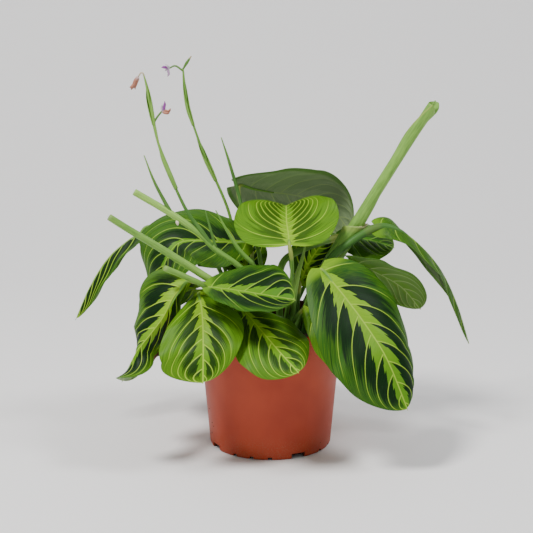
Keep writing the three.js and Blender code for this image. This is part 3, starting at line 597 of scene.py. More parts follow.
# a shader's colour, roughness, reflection and bump, each a number or a value, distance in metres
def dress(shader, color, roughness, specular=0.5, height=None, strength=0.3, distance=0.0003):
    put(shader.inputs["Base Color"], color)
    put(shader.inputs["Roughness"], roughness)
    put(shader.inputs["Specular IOR Level"], specular)
    if height:
        bump = dict(Height=height, Strength=strength, Distance=distance)
        put(shader.inputs["Normal"], fromNode("ShaderNodeBump", bump))


# a material of a group, whose vectors are the mesh's attributes of the same names
def groupMaterial(name, group, vectors, numbers, specular, strength):
    material, tree, shader = newMaterial(name)
    made = tree.nodes.new("ShaderNodeGroup")
    made.node_tree = group
    for key in vectors:
        put(made.inputs[key], attribute(tree, key.lower()))
    for key, value in numbers.items():
        put(made.inputs[key], value)
    color, roughness, height = (Value(output) for output in made.outputs)
    dress(shader, color, roughness, specular, height, strength)
    return material


leafColours = dict(
    vein=colour(106, 148, 50), veinYellow=colour(160, 194, 60), band=colour(58, 116, 22),
    bandYellow=colour(136, 178, 28), green=colour(32, 80, 20), greenYellow=colour(98, 148, 20),
    dark=colour(8, 32, 8), streak=colour(20, 62, 12), under=colour(144, 164, 122),
    underDark=colour(94, 118, 78), underVein=colour(160, 184, 116), underMargin=colour(84, 128, 44),
    underOlive=colour(92, 142, 40), dry=colour(96, 66, 48),
)
# streaks, grain and patches: how often they change from vein to vein and from midrib to edge. veinWidth: mm
# at the midrib and the edge. firstVein: the number from which they are drawn. ribWidth: mm where the midrib
# starts to fade and has faded. teeth: the fewest, and how many more. stair: how far they step outwards. Soft
# is how wide an edge is, and the shares say how strongly the lines are drawn
leafDrawing = dict(
    streaks=(16, 2.4), grain=(46, 5), patches=(1.3, 3), veinWidth=(0.6, 0.3), veinFade=(0.74, 0.97),
    firstVein=0.6, ribWidth=(0.3, 0.7), teeth=(4, 2.99), stair=1.15, bandSoft=0.012, blotchSoft=0.14,
    blotchStreak=0.9, blotchPatch=0.3, lineShare=0.92, underLineShare=0.7, specular=0.12, bump=0.35,
)
leafVectors, leafNumbers = ["Pattern", "Spot"], ["Band", "Reach", "Dark", "Lime", "Margin", "Olive", "Dry"]


# pattern holds the vein's number growing along the leaf, the place from the midrib to the edge and the mm
# from one vein to the next. spot holds the place along, the mm from the midrib, and 1 on the lower side
def makeLeafGroup():
    tree, given, out = newGroup("leafPattern", leafVectors, leafNumbers)
    phase, across, scale = split(given["Pattern"])
    along, fromRib, under = split(given["Spot"])
    share, cell = maths("ABSOLUTE", across), maths("FRACT", phase)
    look = leafDrawing
    streak, fine, patch = (
        noise(xyz(phase * look[key][0], across * look[key][1], z), detail=detail)
        for key, z, detail in (("streaks", 0, 3), ("grain", 0, 2), ("patches", 7, 2))
    )

    # veins: lines of equal phase, thinner and fainter towards the edge
    gap = maths("ABSOLUTE", maths("FRACT", phase + 0.5) - 0.5) * scale
    width = smooth(share, 0, 1, *look["veinWidth"])
    vein = (1 - smooth(gap, width * 0.4, width)) * smooth(share, *look["veinFade"], 1, 0)
    vein = vein * maths("GREATER_THAN", phase, look["firstVein"])
    lines = maths("MAXIMUM", vein, smooth(maths("ABSOLUTE", fromRib), *look["ribWidth"], 1, 0))

    # the lime band: between two veins it steps outwards in four to six teeth, then falls back
    sector = maths("FLOOR", phase) + maths("SIGN", across) * 60
    draw = randomOf(sector)
    teeth = maths("FLOOR", draw * look["teeth"][1]) + look["teeth"][0]
    place = cell * teeth
    step = maths("FLOOR", place)
    edge = step / teeth * look["stair"] + randomOf(sector * 10 + step) * 0.5
    edge = edge + (maths("FRACT", place) - 0.5) * 0.35 + (draw * 0.4 + 0.2)
    edge = given["Band"] * edge
    band = smooth(share, edge + look["bandSoft"], edge - look["bandSoft"])
    ends = maths("MAXIMUM", smooth(along, 0.015, 0.07, 1, 0), smooth(along, 0.95, 0.99))
    band = maths("MAXIMUM", band, ends * 0.8)

    # dark blotches: one between each two veins, from the band outwards, with streaky outer ends
    far = given["Reach"] * (maths("SINE", cell * math.pi) * 0.3 + 0.72)
    far = far + (streak - 0.5) * look["blotchStreak"] + (patch - 0.5) * look["blotchPatch"]
    blotch = smooth(share, far + look["blotchSoft"], far - look["blotchSoft"]) * smooth(phase, 1, 2)
    blotch = blotch * smooth(along, 0.9, 0.97, 1, 0) * given["Dark"]

    # the upper side: green, streaked and grained, under the blotches, the band and the lines
    tone = leafColours
    green = mixed(given["Margin"], tone["green"], tone["greenYellow"])
    green = mixed(smooth(streak, 0.35, 0.7, 0, 0.55), green, tone["streak"])
    green = mixed(smooth(fine, 0.35, 0.7, 0, 0.22), green, tone["bandYellow"])
    pale = smooth(given["Lime"], 0, 0.5)
    lime = mixed(pale, tone["band"], tone["bandYellow"])
    lime = mixed(smooth(along, 0.2, 0.85, 0, 0.65), lime, tone["band"])
    lime = mixed(smooth(fine, 0.35, 0.7, 0, 0.35), lime, tone["band"])
    dark = mixed(smooth(fine, 0.4, 0.75, 0, 0.6), tone["dark"], tone["streak"])
    top = mixed(band, mixed(blotch, green, dark), lime)
    top = mixed(lines * look["lineShare"], top, mixed(pale, tone["vein"], tone["veinYellow"]))

    # the lower side: grey green, darker under the blotches, with a greener margin and the lines
    below = mixed(given["Olive"], tone["under"], tone["underOlive"])
    below = mixed(smooth(fine, 0.3, 0.7, 0, 0.35), below, tone["underDark"])
    below = mixed(blotch * (1 - band) * 0.3, below, tone["underDark"])
    below = mixed(smooth(share, 0.7, 0.85, 0, 0.8), below, tone["underMargin"])
    below = mixed(lines * look["underLineShare"], below, tone["underVein"])
    skin = mixed(smooth(under, 0.3, 0.6), top, below)
    dry = smooth(along + streak * 0.1, given["Dry"], given["Dry"] + 0.06)
    put(out["Color"], mixed(dry, skin, tone["dry"]))
    put(out["Roughness"], fine * 0.14 + 0.38 + under * 0.16)
    put(out["Height"], fine * 0.5 + streak * 0.5 - lines * 0.5)
    return tree


stemColours = dict(
    green=colour(92, 142, 52), pale=colour(156, 200, 92), low=colour(56, 98, 42), knee=colour(150, 168, 78),
    tip=colour(186, 168, 138),
)
# lines and cloud: how often they change round the stem and per mm along it. low: mm up the stem between
# which the darker foot fades, and its share
stemDrawing = dict(lines=(5, 0.06), cloud=(1, 0.09), low=(20, 75, 0.75), specular=0.2, bump=0.3)
stemVectors = ["Strand", "Marks"]


# lengthwise lines, darker near the soil. Marks hold how yellow the skin is, how much paler, and how dry; on
# the rolled leaf they also lower the paleness as painted shade. A Pale under 0 darkens the skin as painted
# shade
def makeStemGroup():
    tree, given, out = newGroup("stemSkin", stemVectors, ["Pale"])
    x, y, length = split(given["Strand"])
    knee, light, dry = split(given["Marks"])
    lines, cloud = (noise(xyz(x * around, y * around, length * on))
                    for around, on in (stemDrawing["lines"], stemDrawing["cloud"]))
    foot, top, share = stemDrawing["low"]
    tone = stemColours
    skin = mixed(fromNode("ShaderNodeClamp", dict(Value=given["Pale"] + light)), tone["green"], tone["pale"])
    skin = mixed(smooth(lines, 0.4, 0.65, 0, 0.4), skin, tone["low"])
    skin = mixed(smooth(cloud, 0.3, 0.8, 0, 0.3), skin, tone["pale"])
    skin = mixed(smooth(length, foot, top, share, 0), skin, tone["low"])
    skin = mixed(knee, skin, tone["knee"])
    # painted shade: a Pale under 0 darkens the skin towards the low green, for a stalk that lies in shade
    skin = mixed(smooth(given["Pale"], 0, -0.5, 0, 0.8), skin, tone["low"])
    put(out["Color"], mixed(dry, skin, tone["tip"]))
    put(out["Roughness"], lines * 0.15 + 0.42)
    put(out["Height"], lines)
    return tree


leafGroup, stemGroup = makeLeafGroup(), makeStemGroup()


def leafMaterial(leaf):
    name, numbers = "look_leaf_" + leaf["name"], {key: leaf[key.lower()] for key in leafNumbers}
    return groupMaterial(name, leafGroup, leafVectors, numbers, leafDrawing["specular"], leafDrawing["bump"])


def stemMaterial(name, pale):
    numbers = dict(Pale=pale)
    return groupMaterial(name, stemGroup, stemVectors, numbers, stemDrawing["specular"], stemDrawing["bump"])


petalLook = dict(
    brown=colour(176, 116, 92), purple=colour(140, 62, 150), white=colour(206, 200, 206),
    vein=colour(104, 60, 70), lines=(6, 0.4), roughness=0.6,
)


# petals: brown to purple by marks x, whitish by marks z, with fine lengthwise lines
def petalMaterial():
    material, tree, shader = newMaterial("look_petals")
    x, y, length = split(attribute(tree, "strand"))
    tint, place, white = split(attribute(tree, "marks"))
    across, on = petalLook["lines"]
    lines = noise(xyz(x * across, y * across, length * on))
    petal = mixed(tint, petalLook["brown"], petalLook["purple"])
    petal = mixed(white, petal, petalLook["white"])
    petal = mixed(smooth(lines, 0.4, 0.7, 0, 0.4), petal, petalLook["vein"])
    petal = mixed(smooth(place, 0, 0.35, 0.5, 0), petal, petalLook["white"])
    dress(shader, petal, petalLook["roughness"], 0.5, lines, 0.3, 0.0002)
    return material


# the darker stalk look, with a Pale under 0, is painted shade
stalkPales = dict(look_stalk=0.15, look_stalk_dark=-0.5)
stalkLooks = {name: stemMaterial(name, pale) for name, pale in stalkPales.items()}
for leaf in leafShapes:
    leaf = {**leafUsual, **leaf}
    node = "leaf_" + leaf["name"]
    addPiece("blade_" + leaf["name"], bladeMesh(leaf), leafMaterial(leaf), "leaf", node)
    addPiece("stalk_" + leaf["name"], stalkMesh(leaf), stalkLooks[leaf["stalkLook"]], "stem", node)
print("leaves", len(leafShapes))

shootLooks = {
    "leaf_rolled": stemMaterial("look_rolled", 0.4),
    "stem_cut_long": stemMaterial("look_cut_long", 0.25),
    "stem_cut_short": stemMaterial("look_cut_short", 0.4),
}
shootLook = stemMaterial("look_shoot", 0.15)
# the sheath at the foot of leaf_back_tall, and the small cream coloured bud under the long cut shoot
backSheath = dict(path=[[-23, 27, 190], [-27, 31, 205], [-34, 30, 230], [-40, 30, 249]],
                  radii=[1.2, 1.6, 1.2, 0.4])
bud = dict(path=[[-73.2, -42.5, 197.2], [-72.8, -43, 195], [-72.4, -43.2, 193.2]], radii=[0.8, 1.4, 1.3, 0.5])
shootSides = dict(thin=14, thick=20, thickFrom=4)


# a shoot's tube, paler and drier where its table says
def shootMesh(tube):
    light = tube.get("light", [0])
    dryFrom, dryAt, dryShare = tube.get("dry", [2, 3, 0])
    sides = shootSides["thick" if max(tube["radii"]) > shootSides["thickFrom"] else "thin"]

    def markAt(u):
        return stacked(0, keysAt(light, u), dryShare * smoothStep(u, dryFrom, dryAt))

    return tubeMesh(curveThrough(tube["path"]), lambda u: keysAt(tube["radii"], u), markAt, sides)


for name, tubes in shootTubes.items():
    mesh = joinMeshes([shootMesh(tube) for tube in tubes])
    slot = "young_leaf" if name == "leaf_rolled" else "stem"
    addPiece("skin_" + name, mesh, shootLooks.get(name, shootLook), slot, name)
addPiece("skin_back_sheath", shootMesh(backSheath), shootLook, "stem", "leaf_back_tall")
budLook, _, shader = newMaterial("look_bud")
dress(shader, colour(222, 210, 184), 0.5)
addPiece("bud_left", shootMesh(bud), budLook, "stem", "shoot_flowering_left")
print("shoots", len(shootTubes))

# the rolled leaf: a sheet wound round its axis, from inner degrees to edge, the angle of its free edge up the
# roll. rim: how far in mm each place of rimPlace, in degrees from the free edge inwards, stands from the top.
# flare and slit: mm that the back of the rim leans out and the free edge stands off, where and how wide
roll = dict(
    path=[[20, 6, 70], [20, 6, 94], [41, 5, 135], [54.5, 6, 159], [70.5, 8, 184], [92.6, 10, 220],
          [112.5, 12, 252], [132, 14, 282]],
    part=(0.36, 1.0), pitch=0.8, inner=818, edge=[-250, -215, -180, -145, -92, -15],
    radii=[4.5, 5.0, 5.0, 4.9, 4.7, 4.5, 4.5], rimPlace=[0, 50, 100, 120, 160, 210, 270, 360, 400, 460, 900],
    rim=[-4, -6, -9, -6, 0, -2, -4.5, -4, -6, -12, -12], flare=(3.4, 145, 45), slit=(1.3, 50),
    thickness=0.4, rows=90, columns=150,
)
rollCurve = curveThrough(roll["path"])
rollLength = rollCurve["length"] * (roll["part"][1] - roll["part"][0])


# the angle runs from the inner end to the free edge
def rollAngle(v, u):
    return roll["inner"] + (keysAt(roll["edge"], v) - roll["inner"]) * u


# the radius falls by the pitch with each turn inwards, and the flare and the slit are added to it
def rollRadius(v, u):
    fromEdge = rollAngle(v, u) - keysAt(roll["edge"], v)
    far, place, width = roll["flare"]
    lean = far * np.exp(-(((fromEdge - place) / width) ** 2)) * smoothStep(v, 0.93, 1)
    slit = roll["slit"][0] * np.exp(-((fromEdge / roll["slit"][1]) ** 2)) * smoothStep(v, 0.62, 0.8)
    return keysAt(roll["radii"], v) - roll["pitch"] * fromEdge / 360 + lean + slit


# how far up each line of u reaches: the roll's full length, and the rim's mm there
def rollTop(u):
    fromEdge = (roll["inner"] - roll["edge"][-1]) * (1 - u)
    return 1 + np.interp(fromEdge, roll["rimPlace"], roll["rim"]) / rollLength


# marks: yellower along the free edge, and less pale on the turn beneath it, where it is bared near the top,
# as painted shade of the slit under the free edge
def rollMarks(v, u):
    edge = smoothStep(u, 0.985, 0.995)
    fromEdge = rollAngle(v, u) - keysAt(roll["edge"], v)
    # painted shade: the turn just under the free edge is darkened as the slit's shadow
    paintedSlitShade = smoothStep(fromEdge, 345, 362) * (1 - smoothStep(fromEdge, 380, 450)) * smoothStep(v, 0.55, 0.75)
    return stacked(edge, 0.35 * edge - 0.9 * paintedSlitShade, 0)


rollMesh = sheetMesh(rollCurve, roll["part"], rollAngle, rollRadius, rollTop, rollMarks,
                     roll["thickness"], roll["rows"], roll["columns"])
addPiece("roll_leaf_rolled", rollMesh, shootLooks["leaf_rolled"], "young_leaf", "leaf_rolled")

# bracts: short sheets wrapped round a stem, over a part of its length. turn: the way its back looks. open:
# half the slit between its edges in degrees at the foot, in the middle and at the tip. tipAt: where round it
# the tip is. tipLow: how far the edges end below the tip. rag: a torn rim in mm. dry: from where it is brown
leftStalk = curveThrough(shootTubes["shoot_flowering_left"][4]["path"])
backStalk = curveThrough(shootTubes["shoot_flowering_back"][0]["path"])
bractLook, sheathLook = stemMaterial("look_bract", 0.25), stemMaterial("look_sheath", 0.1)
bractUsual = dict(
    open=[5, 15, 120], tipAt=0.5, tipLow=0.2, rag=0.2, dry=2, slot="stem", look=bractLook, overlap=0.25,
    thickness=0.3, rows=40, columns=36,
)
bracts = [
    dict(name="roll_sheath", node="leaf_rolled", slot="young_leaf", look=sheathLook, curve=rollCurve,
         part=(0.2, 0.535), radii=[4.6, 5.4, 6.2, 6.7, 6.8, 6.9, 8.3], turn=55, open=[10, 25, 45], tipAt=0.63,
         tipLow=0.15, rag=2.0, dry=0.945),
    dict(name="bract_left_upper", node="shoot_flowering_left", curve=leftStalk, part=(0.68, 0.935),
         radii=[1.3, 1.9, 2.1, 1.9, 1.2], turn=160, open=[5, 20, 120], tipLow=0.25, rag=0.5, dry=0.86),
    dict(name="bract_left_lower", node="shoot_flowering_left", curve=leftStalk, part=(0.32, 0.62),
         radii=[1.5, 1.8, 1.8, 1.6, 1.2], turn=20, open=[5, 20, 130], tipLow=0.25),
    dict(name="bract_back_upper", node="shoot_flowering_back", curve=backStalk, part=(0.805, 0.995),
         radii=[1.2, 1.8, 1.8, 1.5, 1.0], turn=200),
    dict(name="bract_back_lower", node="shoot_flowering_back", curve=backStalk, part=(0.6, 0.775),
         radii=[1.4, 2.0, 2.1, 1.8, 1.2], turn=200),
]


# each bract's angle runs round the stem between its edges, one over the other at the foot, and its rim falls
# away from its tip on both sides with a small ragged wave
def bractMesh(bract):
    length = bract["curve"]["length"] * (bract["part"][1] - bract["part"][0])

    def angle(v, u):
        return bract["turn"] + (180 - keysAt(bract["open"], v)) * (2 * u - 1)

    def radius(v, u):
        return keysAt(bract["radii"], v) + bract["overlap"] * (u > 0.5)

    def top(u):
        away = np.abs(u - bract["tipAt"]) / max(bract["tipAt"], 1 - bract["tipAt"])
        ragged = bract["rag"] * (np.sin(37 * u) + np.sin(83 * u + 1)) / 2 * np.exp(-((away / 0.4) ** 2))
        return 1 - bract["tipLow"] * away**1.3 + ragged / length

    # marks: yellower along the rim, a little paler than the stem, and dry from the place given
    def mark(v, u):
        dry = smoothStep(v * top(u), bract["dry"] - 0.03, bract["dry"] + 0.02)
        return stacked(0.5 * smoothStep(v, 0.9, 0.95) * (1 - dry), 0.2, 0.7 * dry)

    return sheetMesh(bract["curve"], bract["part"], angle, radius, top, mark,
                     bract["thickness"], bract["rows"], bract["columns"])


for bract in bracts:
    bract = {**bractUsual, **bract}
    addPiece(bract["name"], bractMesh(bract), bract["look"], bract["slot"], bract["node"])
print("bracts", len(bracts))

# blooms: petals as small cupped sheets, each with its tint, its radius, half its width in degrees of a
# circle of that radius, and its path from the bloom's heart. Tint 0 is pinkish brown, 1 purple, 2 whitish
leftHeart, backHeart = [-84, -34, 281.5], [-82, 40, 304]
blooms = {
    "bloom_withered": [
        (0, 1.4, 150, [[-102, -32, 308.5], [-104, -32, 306], [-106, -32, 301.5], [-107.5, -32, 298]]),
        (0, 1.1, 120, [[-102, -31.6, 308.5], [-103, -31, 305], [-104.6, -31, 301], [-104.5, -31, 298.2]]),
        (0, 1.2, 120, [[-105, -32, 303], [-107, -33, 301], [-108.6, -33, 299.6]]),
    ],
    "bloom_left": [
        (1, 1.5, 60, [leftHeart, [-83, -34, 283.5], [-82.3, -34, 286.5], [-82.2, -34, 290]]),
        (0, 1.3, 80, [leftHeart, [-81.5, -34, 282.2], [-79, -34, 282], [-77.6, -34, 284.4]]),
        (0, 1.3, 80, [leftHeart, [-82, -35, 281], [-80, -35.4, 280.6], [-78.2, -35, 281.6]]),
        (2, 1.2, 60, [leftHeart, [-84.6, -33, 284], [-84.2, -32.5, 287]]),
    ],
    "bloom_back": [
        (1, 1.4, 70, [backHeart, [-84.2, 40, 304.6], [-86.4, 40, 304.8], [-88.4, 40, 304.2]]),
        (1.4, 1.3, 65, [backHeart, [-82.6, 40, 302], [-82.2, 40, 299.5], [-83.2, 40, 297]]),
        (2, 1.2, 60, [backHeart, [-83.6, 39, 306], [-85.4, 39, 307.4]]),
        (2, 1.1, 60, [backHeart, [-84, 41, 302.6], [-85.6, 41, 301.4]]),
    ],
}
petalDetail = dict(turn=20, crinkle=0.15, thickness=0.22, rows=16, columns=14)


# a petal is a sheet of a narrow angle and a small radius, both growing from its base to its middle and
# falling again like the root of a sine, with a fine crinkle
def petalMesh(tint, size, wide, path):
    def shape(v):
        return np.sqrt(np.maximum(np.sin(np.pi * np.clip(0.06 + 0.9 * v, 0, 1)), 0.02))

    def angle(v, u):
        return wide * shape(v) * (2 * u - 1) + petalDetail["turn"]

    def radius(v, u):
        return size * (0.35 + 0.65 * shape(v)) + petalDetail["crinkle"] * np.sin(9 * v + 6 * u)

    def top(u):
        return 1 - 0.12 * (2 * u - 1) ** 2

    def mark(v, u):
        return stacked(min(tint, 1), v, max(tint - 1, 0))

    return sheetMesh(curveThrough(path), (0, 1), angle, radius, top, mark,
                     petalDetail["thickness"], petalDetail["rows"], petalDetail["columns"])


bloomLook = petalMaterial()
for name, petals in blooms.items():
    slot = "withered_bloom" if name == "bloom_withered" else "bloom"
    addPiece("petals_" + name, joinMeshes([petalMesh(*petal) for petal in petals]), bloomLook, slot, name)
print("blooms", len(blooms))

# notch and smallNotch: width and height, the first at firstNotch degrees from the front and one a quarter,
# with three small ones notchPitch degrees apart between them. rounding: the radius of every corner
pot = dict(
    height=105, baseRadius=49.6, topRadius=59, wall=1.2, collarHeight=9, collarStep=1.2, footHeight=3,
    footWidth=2.8, channelWidth=5, rounding=0.35, segments=192, sharpFrom=32,
    notch=(12, 4.6), smallNotch=(3.4, 2.5), firstNotch=27, notchPitch=17.5, holes=8, holeRadius=1.7,
)


# the outer side's radius, growing evenly from the base to the rim
def potRadius(z):
    return pot["baseRadius"] + (pot["topRadius"] - pot["baseRadius"]) * z / pot["height"]


# a profile of (radius, height) pairs from axis to axis, turned round Z: rings with a pole at each end
def turnedMesh(profile, segments):
    profile = np.array(profile, dtype=float)
    angle = np.linspace(0, 2 * np.pi, segments, endpoint=False)[None]
    radius, height = profile[1:-1, :1], profile[1:-1, 1:]
    points = stacked(radius * np.cos(angle), radius * np.sin(angle), height).reshape(-1, 3)
    poles = [[0, 0, profile[0, 1]], [0, 0, profile[-1, 1]]]
    return np.vstack([points, poles]), ringFaces(len(radius), segments), {}


# each corner of a profile rounded by radius, as three points on a quadratic curve through its two sides
def rounded(profile, radius):
    profile = np.array(profile, dtype=float)
    path = [profile[0]]
    for before, corner, after in zip(profile[:-2], profile[1:-1], profile[2:]):
        back, onward = before - corner, after - corner
        near = min(radius, np.linalg.norm(back) * 0.4, np.linalg.norm(onward) * 0.4)
        first, last = corner + near * unit(back), corner + near * unit(onward)
        path += [first, (first + 2 * corner + last) / 4, last]
    return np.array(path + [profile[-1]])


# a box standing across the foot's wall at an angle in degrees, open below the pot and its top at height
def notchMesh(degrees, width, height):
    half, outside, inside = width / 2, -58, -43
    corners = [[x, y, z] for x in (-half, half) for y in (outside, inside) for z in (-height, height)]
    a = math.radians(degrees)
    spin = np.array([[math.cos(a), -math.sin(a), 0], [math.sin(a), math.cos(a), 0], [0, 0, 1]])
    faces = [[0, 1, 3, 2], [4, 6, 7, 5], [0, 4, 5, 1], [2, 3, 7, 6], [0, 2, 6, 4], [1, 5, 7, 3]]
    return np.array(corners) @ spin.T, faces, {}


# a round rod through the floor at an angle in degrees
def holeMesh(degrees, radius, distance):
    mesh = turnedMesh([[0, -1], [radius, -1], [radius, 9], [0, 9]], 20)
    mesh[0][:, 0] += distance * math.sin(math.radians(degrees))
    mesh[0][:, 1] -= distance * math.cos(math.radians(degrees))
    return mesh


# the pot's profile turned round, then the notches and the drain holes cut out of it
def makePot(look):
    wall, high, foot, step = (pot[key] for key in ("wall", "height", "footHeight", "collarStep"))
    footInner = pot["baseRadius"] - pot["footWidth"]
    discEdge = footInner - pot["channelWidth"]
    collar = high - pot["collarHeight"]
    profile = [
        [0, 0], [discEdge, 0], [discEdge + wall, foot], [footInner - wall / 2, foot], [footInner, 0],
        [pot["baseRadius"] - 1, 0], [pot["baseRadius"] - 0.3, 0.5], [potRadius(1.5), 1.5],
        [potRadius(collar), collar], [potRadius(collar) + step, collar + 1],
        [potRadius(high) + step, high - 0.6], [potRadius(high) + step - 0.5, high],
        [potRadius(high) - wall / 2, high],
        [potRadius(collar) - wall, collar - 1], [potRadius(foot + 2 * wall) - wall, foot + 2 * wall],
        [footInner, foot + wall], [discEdge, foot + wall], [discEdge - wall, wall], [0, wall],
    ]
    piece = addPiece("pot_body", turnedMesh(rounded(profile, pot["rounding"]), pot["segments"]), look,
                     "pot_plastic", "pot")
    cutters = []
    for quarter in range(4):
        start = pot["firstNotch"] + 90 * quarter
        cutters.append(notchMesh(start, *pot["notch"]))
        cutters += [notchMesh(start + 45 + k * pot["notchPitch"], *pot["smallNotch"]) for k in (-1, 0, 1)]
    for k in range(pot["holes"]):
        distance = (footInner + discEdge) / 2 + wall / 3
        cutters.append(holeMesh(360 * (k + 0.5) / pot["holes"], pot["holeRadius"], distance))
    points, faces, _ = joinMeshes([(mesh[0], facingOut(*mesh[:2]), {}) for mesh in cutters])
    cutter = newObject("cutter", points, faces)
    modifier = piece.modifiers.new("cut", "BOOLEAN")
    modifier.operation = "DIFFERENCE"
    modifier.solver = "EXACT"
    modifier.use_self = True
    modifier.object = cutter
    cut = bpy.data.meshes.new_from_object(piece.evaluated_get(bpy.context.evaluated_depsgraph_get()))
    piece.modifiers.clear()
    piece.data = cut
    bpy.data.objects.remove(cutter)
    cut.polygons.foreach_set("use_smooth", [True] * len(cut.polygons))
    cut.set_sharp_from_angle(angle=math.radians(pot["sharpFrom"]))


# speck and cloud: how many spots of each in a metre. dust: its share at the foot and the height in m where it
# ends. inside: how far in m a point lies within the outer side where the painted shade inside the pot starts
# and is full
potLook = dict(
    # the darkest brown here is painted shade inside the pot
    light=colour(172, 62, 28), deep=colour(156, 52, 24), dust=colour(150, 92, 62), insideShade=colour(64, 34, 22),
    speck=900, cloud=22, dustShare=0.5, dustHeight=0.025, inside=(0.0006, 0.001), insideShadeShare=0.9,
    roughness=(0.42, 0.55), specular=0.3,
)


# orange plastic, dusty near the foot, and darkened by painted shade inside the pot, where the radius is
# less than the outer side's at that height
def potMaterial():
    material, tree, shader = newMaterial("look_pot")
    place = fromNode("ShaderNodeTexCoord", {}, "Object", tree)
    speck, cloud = noise(place, potLook["speck"], 3), noise(place, potLook["cloud"], 3)
    skin = mixed(smooth(cloud, 0.3, 0.7), potLook["light"], potLook["deep"])
    x, y, height = split(place)
    low = smooth(height, 0, potLook["dustHeight"], potLook["dustShare"], 0) * smooth(speck, 0.45, 0.65)
    skin = mixed(low, skin, potLook["dust"])
    radius = fromNode("ShaderNodeVectorMath", {0: xyz(x, y)}, "Value", operation="LENGTH")
    collar = maths("GREATER_THAN", height, (pot["height"] - pot["collarHeight"]) * mm)
    outside = height * ((pot["topRadius"] - pot["baseRadius"]) / pot["height"]) + pot["baseRadius"] * mm
    inside = smooth(outside + collar * (pot["collarStep"] * mm) - radius, *potLook["inside"])
    # painted shade: the pot's inside, where shade falls, mixed towards a dark brown
    skin = mixed(inside * potLook["insideShadeShare"], skin, potLook["insideShade"])
    roughness = smooth(cloud, 0.2, 0.8, *potLook["roughness"])
    dress(shader, skin, roughness, potLook["specular"], speck, 0.1, 0.0002)
    return material


makePot(potMaterial())

# crown: how far the middle stands over the rim. bump: the height of the waves. gap: air to the pot's wall.
# smallest and spread: a grain's size. wallGrains: where some stick to the pot. grain and patch: spots in a m
soil = dict(
    crown=2.5, rings=60, segments=150, bump=0.9, gap=0.4, grains=700, seed=7, smallest=0.35, spread=1.1,
    wallGrains=[[-49.9, -17, 33], [-46.2, -20, 22], [-45.1, -21.5, 19.5], [-47.8, -17.5, 12], [41, -30, 8]],
    wallGrainSizes=[0.55, 0.75, 0.5, 0.6, 0.5], dark=colour(30, 21, 15), brown=colour(74, 54, 38),
    grit=colour(150, 138, 120), grain=420, patch=90, roughness=0.95,
)


# dark crumbs and brown ones by a fine noise, with pale grit where two noises are high
def soilMaterial():
    material, tree, shader = newMaterial("look_soil")
    place = fromNode("ShaderNodeTexCoord", {}, "Object", tree)
    grain, patch = noise(place, soil["grain"], 4), noise(place, soil["patch"])
    skin = mixed(smooth(grain, 0.35, 0.7), soil["dark"], soil["brown"])
    skin = mixed(smooth(grain, 0.66, 0.74) * smooth(patch, 0.5, 0.6), skin, soil["grit"])
    dress(shader, skin, soil["roughness"], 0.5, grain, 0.8, 0.001)
    return material


# the soil's upper side: crowned, with waves of several lengths laid over each other
def soilHeight(x, y):
    inner = potRadius(soilTop) - pot["wall"] - 0.6
    crown = soil["crown"] * (1 - (x * x + y * y) / inner**2)
    waves = np.sin(x * 0.31 + 1.3) * np.sin(y * 0.27) + 0.6 * np.sin(x * 0.73 - y * 0.61)
    waves = waves + 0.4 * np.sin(x * 1.9 + y * 1.3) + 0.5 * np.sin(x * 2.9 - y * 3.3)
    return soilTop - soil["crown"] + crown + soil["bump"] * 0.4 * (waves - 1)


# the soil fills the pot with a small gap. The grains, a rough eight-sided form of each size, are strewn on
# it evenly by area, and a few stick to the pot's wall
def makeSoil(look):
    wall, gap = pot["wall"], soil["gap"]
    floorZ = pot["footHeight"] + wall + 0.3
    inner = potRadius(soilTop - soil["crown"]) - wall - gap
    low = potRadius(floorZ + 2 * wall) - wall - gap
    profile = [[0, floorZ], [low - 2 * wall, floorZ], [low, floorZ + 2 * wall]]
    profile += [[r, soilTop] for r in inner * np.linspace(1, 0.02, soil["rings"])] + [[0, soilTop]]
    mesh = turnedMesh(profile, soil["segments"])
    top = mesh[0][:, 2] > soilTop - 1
    mesh[0][top, 2] = soilHeight(*mesh[0][top, :2].T)
    addPiece("soil_body", mesh, look, "soil", "soil")
    draw = np.random.default_rng(soil["seed"])
    count = soil["grains"]
    form = np.array([[1, 0, 0], [-1, 0, 0], [0, 1, 0], [0, -1, 0], [0, 0, 1], [0, 0, -1]], dtype=float)
    sides = np.array([[0, 2, 4], [2, 1, 4], [1, 3, 4], [3, 0, 4], [2, 0, 5], [1, 2, 5], [3, 1, 5], [0, 3, 5]])
    far = inner * np.sqrt(draw.random(count)) * 0.97
    around = draw.random(count) * 2 * np.pi
    x, y = far * np.cos(around), far * np.sin(around)
    size = soil["smallest"] + soil["spread"] * draw.random(count) ** 3
    middle = np.stack([x, y, soilHeight(x, y) + size * 0.3], axis=-1)
    stuck = np.array(soil["wallGrains"])
    stuck[:, :2] *= ((potRadius(stuck[:, 2]) + 0.15) / np.hypot(stuck[:, 0], stuck[:, 1]))[:, None]
    middle, size = np.vstack([middle, stuck]), np.concatenate([size, soil["wallGrainSizes"]])
    jitter = draw.uniform(0.6, 1.2, (len(middle), 6, 1))
    turn = np.linalg.qr(draw.normal(size=(len(middle), 3, 3)))[0]
    turn = turn * np.sign(np.linalg.det(turn))[:, None, None]
    points = middle[:, None] + size[:, None, None] * np.einsum("kij,kpj->kpi", turn, form[None] * jitter)
    faces = (sides[None] + 6 * np.arange(len(middle))[:, None, None]).reshape(-1, 3).tolist()
    addPiece("soil_grains", (points.reshape(-1, 3), faces, {}), look, "soil", "soil")


makeSoil(soilMaterial())
print("pot and soil")

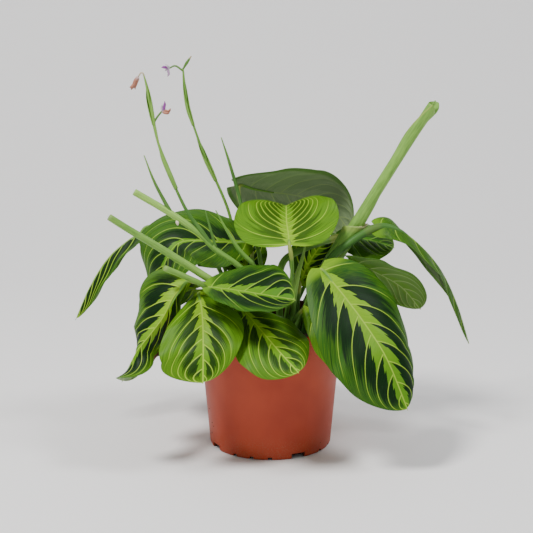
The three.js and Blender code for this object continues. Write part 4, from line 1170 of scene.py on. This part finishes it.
# the stage, in metres. The floor turns up into the wall behind in a quarter circle
backdrop = dict(front=-3.0, bend=0.5, radius=0.8, height=2.6, width=8.0)
turn = np.linspace(0, np.pi / 2, 32)
bend, radius, edge = backdrop["bend"], backdrop["radius"], backdrop["width"] / 2
curved = stacked(bend + radius * np.sin(turn), radius * (1 - np.cos(turn)))
profile = np.vstack([[backdrop["front"], 0], curved, [bend + radius, backdrop["height"]]])
points = np.array([(x, y, z) for y, z in profile for x in (-edge, edge)])
faces = [(2 * k, 2 * k + 1, 2 * k + 3, 2 * k + 2) for k in range(len(profile) - 1)]
floor = newObject("floor", points / mm, faces)
floor.data.polygons.foreach_set("use_smooth", [True] * len(floor.data.polygons))
material, tree, shader = newMaterial("look_floor")
dress(shader, colour(247, 246, 246), 0.8)
# seen from behind or from below, the backdrop isn't there
put(shader.inputs["Alpha"], 1 - fromNode("ShaderNodeNewGeometry", {}, "Backfacing", tree))
floor.data.materials.append(material)

world = bpy.data.worlds.new("studio")
scene.world = world
world.use_nodes = True
background = world.node_tree.nodes["Background"]
background.inputs["Color"].default_value = colour(226, 227, 229)
background.inputs["Strength"].default_value = 0.48


# a round lamp turned to look at the target
def addLight(name, place, target, size, power, tint):
    lamp = bpy.data.lights.new(name, "AREA")
    lamp.shape = "DISK"
    lamp.size = size
    lamp.energy = power
    lamp.color = tint
    light = bpy.data.objects.new(name, lamp)
    light.location = place
    x, y, z = np.array(target) - np.array(place)
    light.rotation_euler = (math.atan2(np.hypot(x, y), -z), 0, math.atan2(y, x) - math.pi / 2)
    scene.collection.objects.link(light)


addLight("light_left", (-0.75, -0.75, 1.7), (0, 0, 0.1), 0.45, 37, (1, 0.985, 0.96))
addLight("light_right", (0.9, -0.45, 1.5), (0, 0, 0.1), 0.45, 13, (0.97, 0.985, 1))

cameraView = dict(
    elevation=14.7, distance=1.5, target=(-0.0032, 0, 0.1485), lens=125, sensor=36, clip=(0.05, 50),
)
camera = bpy.data.objects.new("camera", bpy.data.cameras.new("camera"))
camera.data.lens = cameraView["lens"]
camera.data.sensor_width = cameraView["sensor"]
camera.data.clip_start, camera.data.clip_end = cameraView["clip"]
tilt, distance = math.radians(cameraView["elevation"]), cameraView["distance"]
x, y, z = cameraView["target"]
camera.location = (x, y - distance * math.cos(tilt), z + distance * math.sin(tilt))
camera.rotation_euler = (math.pi / 2 - tilt, 0, 0)
scene.collection.objects.link(camera)
scene.camera = camera
